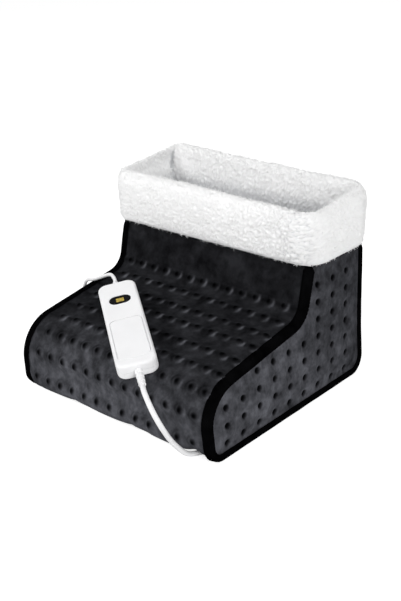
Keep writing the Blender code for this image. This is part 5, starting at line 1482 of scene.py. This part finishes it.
def lining_side(name, sign):
    """A flat wall between the front and back linings, in rows from the footbed to the cuff."""
    inset = PANEL_SET_IN + LINING_OUT + LINING_THICKNESS + GAP
    path = Path(outline(inset, inset, LINING_TURN))
    outer_x = HALF - BINDING_WIDTH - GAP
    near, far = [], []
    for height in spread(FOOTBED_TOP + GAP, LINING_TOP):
        crossings = []
        for a, b in zip(path.points, path.points[1:]):
            if (a.y - height) * (b.y - height) <= 0 and a.y != b.y:
                crossings.append(a.lerp(b, (height - a.y) / (b.y - a.y)).x)
        low, high = min(crossings), max(crossings)
        wide = high - low
        ys = [low + wide * k / LINING_COLUMNS + FOOTPRINT_SHIFT for k in range(LINING_COLUMNS + 1)]
        near.append([Vector((sign * (outer_x - LINING_THICKNESS), y, height)) for y in ys])
        far.append([Vector((sign * outer_x, y, height)) for y in ys])
    return curly_sheet(name, near, far)


for name, sign, node_name in (("fleece_right", 1, "lining_right"), ("fleece_left", -1, "lining_left")):
    hand_over(lining_side(name, sign), "white_fleece", node_name, fill=0.4)


def footbed():
    low, high = (Vector(corner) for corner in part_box("lining_sole"))
    xs, ys = spread(low.x, high.x), spread(low.y, high.y)
    near, far = ([[Vector((x, y, z)) for x in xs] for y in ys] for z in (high.z, low.z))
    return curly_sheet("fleece_footbed", near, far)


hand_over(footbed(), "white_fleece", "lining_sole", fill=0.5)


# %% [markdown]
# ## Leads
#
# A thin lead joins the controller to the boot, low on its left side. The mains lead leaves the
# controller's other end, hangs down before the toe, runs under the boot between its bound edges
# and lies in a neat tied coil behind it. Each is one tube along a smooth line through a few
# points. They are those of the rigid model, but the short tail at the plug bends more gently here.

# %% Route of the leads
MAINS_DIAMETER, BOOT_LEAD_DIAMETER, STRAIGHT_PART, TUBE_STEP = 6.0 * MM, 4.5 * MM, 2.5, 0.6
CONTROLLER_LENGTH, CONTROLLER_HEIGHT, PARTING = 171 * MM, 19 * MM, 9.15 * MM
CONTROLLER_PLACE = (-6.5 * MM, -106.95 * MM, 116.623 * MM)
CONTROLLER_TURN = (math.radians(52.9), math.radians(10.0), math.radians(-9.5))
BOTTOM_RELIEF, TOP_RELIEF = 25 * MM, 12 * MM
COIL_TURNS, COIL_POINTS, COIL_INNER_RADIUS, COIL_PITCH = 6.25, 24, 20.5 * MM, 6.6 * MM
COIL_X, COIL_Y, COIL_FLOOR, COIL_CLIMB = 4 * MM, 212 * MM, 4.6 * MM, 0.6
PLUG_X, PLUG_Y, PLUG_Z, PLUG_REACH = -83 * MM, 222 * MM, 7.15 * MM, 15.6 * MM
GLAND_TIP = Vector((-161.046 * MM, 112 * MM, 18.5 * MM))


def controller_matrix():
    yaw, pitch, roll = CONTROLLER_TURN
    turn = Matrix.Rotation(yaw, 4, "Z") @ Matrix.Rotation(pitch, 4, "X") @ Matrix.Rotation(roll, 4, "Y")
    return Matrix.Translation(CONTROLLER_PLACE) @ turn @ Matrix.Translation((0.0, 0.0, -CONTROLLER_HEIGHT))


CONTROLLER = controller_matrix()


def relief_end(way, length):
    """The middle of a strain relief's outer face, and the way out of it."""
    out = CONTROLLER_LENGTH / 2 + GAP + length
    tip = CONTROLLER @ Vector((0.0, way * out, PARTING))
    far = CONTROLLER @ Vector((0.0, way * (out + MAINS_DIAMETER), PARTING))
    return tip, (far - tip).normalized()


def coil_line():
    """Two flat layers: the lead spirals in near the floor and out again on top."""
    half_turns = COIL_TURNS / 2
    count = round(COIL_TURNS * COIL_POINTS)
    points = []
    for k in range(count + 1):
        turn = COIL_TURNS * k / count
        radius = COIL_INNER_RADIUS + COIL_PITCH * abs(half_turns - turn)
        height = COIL_FLOOR + COIL_PITCH * smooth((turn - half_turns) / COIL_CLIMB + 0.5)
        angle = 2 * math.pi * turn
        x, y = COIL_X + radius * math.cos(angle), COIL_Y + radius * math.sin(angle)
        points.append(Vector((x, y, height)))
    return points


def vectors(*points):
    return [Vector(point) for point in points]


bottom_tip, bottom_way = relief_end(-1, BOTTOM_RELIEF)
coil = coil_line()
mains_route = [bottom_tip + bottom_way * GAP, bottom_tip + bottom_way * MAINS_DIAMETER * STRAIGHT_PART]
mains_route += vectors(
    (0.1110, -0.1879, 0.0735), (0.1211, -0.1846, 0.0545), (0.1188, -0.1673, 0.0284),
    (0.1212, -0.1492, 0.0078), (0.1260, -0.1329, 0.0034), (0.1325, -0.1163, 0.0034),
    (0.1335, -0.0932, 0.0032), (0.1280, -0.0720, 0.0032), (0.1160, -0.0250, 0.0032),
    (0.0990, 0.0250, 0.0032), (0.0810, 0.0750, 0.0032), (0.0640, 0.1200, 0.0032), (0.0505, 0.1600, 0.0032),
)
mains_route += [coil[0] - Vector((0.0, MAINS_DIAMETER * share, 0.0)) for share in (3, 1)]
mains_route += coil
mains_route.append(coil[-1] - Vector((MAINS_DIAMETER, 0.0, 0.0)))
mains_route.append(coil[-1] - Vector((MAINS_DIAMETER * 4, 0.0, GAP)))
mains_route += vectors((-0.0380, 0.2620, 0.0062), (-0.0580, 0.2686, 0.0040), (-0.0748, 0.2625, 0.0048))
relief_tip = Vector((PLUG_X, PLUG_Y + PLUG_REACH, PLUG_Z))
mains_route += [relief_tip + Vector((0.0, MAINS_DIAMETER * 1.5, 0.0)), relief_tip]

top_tip, top_way = relief_end(1, TOP_RELIEF)
boot_route = [top_tip + top_way * GAP, top_tip + top_way * BOOT_LEAD_DIAMETER * STRAIGHT_PART]
boot_route += vectors(
    (-0.1090, -0.0322, 0.1248), (-0.1350, -0.0329, 0.1130), (-0.1579, -0.0297, 0.1025),
    (-0.1738, -0.0213, 0.0678), (-0.1740, -0.0109, 0.0371), (-0.1759, 0.0082, 0.0090),
    (-0.1796, 0.0306, 0.0028), (-0.1904, 0.0526, 0.0034), (-0.2022, 0.0870, 0.0095),
    (-0.1930, 0.1065, 0.0160),
)
boot_route += [GLAND_TIP - Vector((BOOT_LEAD_DIAMETER * STRAIGHT_PART, 0.0, 0.0)), GLAND_TIP]


# %% Tubes of the leads
def lead_tube(name, route, diameter, finish):
    """One round tube along a smooth line through the route."""
    length = sum((b - a).length for a, b in zip(route, route[1:]))
    route = [point + Vector((0.0, FOOTPRINT_SHIFT, 0.0)) for point in route]
    points = read_smooth(route, round(length / (diameter * TUBE_STEP)))
    data = bpy.data.curves.new(name, "CURVE")
    data.dimensions = "3D"
    data.bevel_depth = diameter / 2
    data.bevel_resolution = 5
    data.use_fill_caps = True
    line = data.splines.new("POLY")
    line.points.add(len(points) - 1)
    for target, point in zip(line.points, points):
        target.co = (*point, 1.0)
    data.materials.append(finish)
    tube = placed(name, data)
    length = sum((b - a).length for a, b in zip(points, points[1:]))
    print(f"{name}: {length / MM:.0f} mm of {diameter / MM:.1f} mm lead")
    return tube, points[0], length


WHITE_LEAD = CAD_FINISHES["white_lead"]
mains, mains_exit, mains_length = lead_tube("mains_cord", mains_route, MAINS_DIAMETER, WHITE_LEAD)
hand_over(mains, "white_lead", "mains_lead", "mains_coil", "plug_tail")
boot_cord, boot_exit, boot_length = lead_tube("boot_cord", boot_route, BOOT_LEAD_DIAMETER, WHITE_LEAD)
hand_over(boot_cord, "white_lead", "boot_lead")

# %% [markdown]
# ## Floor and light
#
# The boot stands on a plain white floor under three soft lamps: at the front left, at the right
# and, weaker, above. Its side and toe are lighter than its instep through the lamps and, mostly,
# through painted light on the velvet. The camera sees the floor and the sky as white, but they light
# the object less than they seem to.

# %% Floor, sky and lamps
SKY_LIGHT, SKY_SEEN, FLOOR_GLOW, FLOOR_REACH, FLOOR_DROP = 0.30, 1.0, 0.72, 6.0, 0.05 * MM
PURE_WHITE = (1.0, 1.0, 1.0, 1.0)


def white_world():
    world = bpy.data.worlds.new("studio")
    scene.world = world
    world.use_nodes = True
    tree = world.node_tree
    soft, shown = tree.nodes["Background"], node(tree, "ShaderNodeBackground")
    for light, strength in ((soft, SKY_LIGHT), (shown, SKY_SEEN)):
        light.inputs["Color"].default_value = PURE_WHITE
        light.inputs["Strength"].default_value = strength
    path = node(tree, "ShaderNodeLightPath")
    direct = path.outputs["Is Camera Ray"]
    for ray in ("Is Glossy Ray", "Is Transmission Ray"):
        either = node(tree, "ShaderNodeMath", operation="MAXIMUM")
        chain(tree, (direct, either.inputs[0]), (path.outputs[ray], either.inputs[1]))
        direct = either.outputs[0]
    mix = node(tree, "ShaderNodeMixShader")
    chain(
        tree, (direct, mix.inputs[0]), (soft.outputs[0], mix.inputs[1]), (shown.outputs[0], mix.inputs[2]),
        (mix.outputs[0], tree.nodes["World Output"].inputs["Surface"]),
    )


def floor_finish():
    made, tree, shader = new_finish(
        "white_floor", Roughness=0.9, Base_Color=(0.80, 0.80, 0.80, 1.0), Specular_IOR_Level=0.0,
        Emission_Color=PURE_WHITE,
    )
    path = node(tree, "ShaderNodeLightPath")
    seen = node(tree, "ShaderNodeMath", operation="MULTIPLY")
    seen.inputs[1].default_value = FLOOR_GLOW
    glow = shader.inputs["Emission Strength"]
    chain(tree, (path.outputs["Is Camera Ray"], seen.inputs[0]), (seen.outputs[0], glow))
    return made


def lay_floor():
    mesh = bpy.data.meshes.new("floor")
    corners = [(x * FLOOR_REACH, y * FLOOR_REACH, 0) for x, y in ((-1, -1), (1, -1), (1, 1), (-1, 1))]
    mesh.from_pydata(corners, [], [(0, 1, 2, 3)])
    mesh.materials.append(floor_finish())
    floor = placed("floor", mesh)
    floor.location.z = -FLOOR_DROP


LAMP_AIM = Vector((0.0, 0.0, 0.10))
LAMPS = (
    ("front_left", (-1.5, -1.9, 1.5), 0.8, 38.0), ("right", (2.1, -1.0, 0.9), 1.2, 30.0),
    ("top", (0.2, 0.3, 2.4), 1.2, 9.5),
)


def soft_box(name, place, size, power):
    lamp = bpy.data.lights.new(name, "AREA")
    lamp.shape = "DISK"
    lamp.size = size
    lamp.energy = power
    box = placed(name, lamp)
    box.location = place
    box.rotation_euler = (LAMP_AIM - Vector(place)).to_track_quat("-Z", "Y").to_euler()


white_world()
lay_floor()
for name, place, size, power in LAMPS:
    soft_box(name, place, size, power)
scene.view_settings.view_transform = "Standard"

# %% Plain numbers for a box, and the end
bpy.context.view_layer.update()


def plain(box):
    return [[float(v) for v in corner] for corner in box]
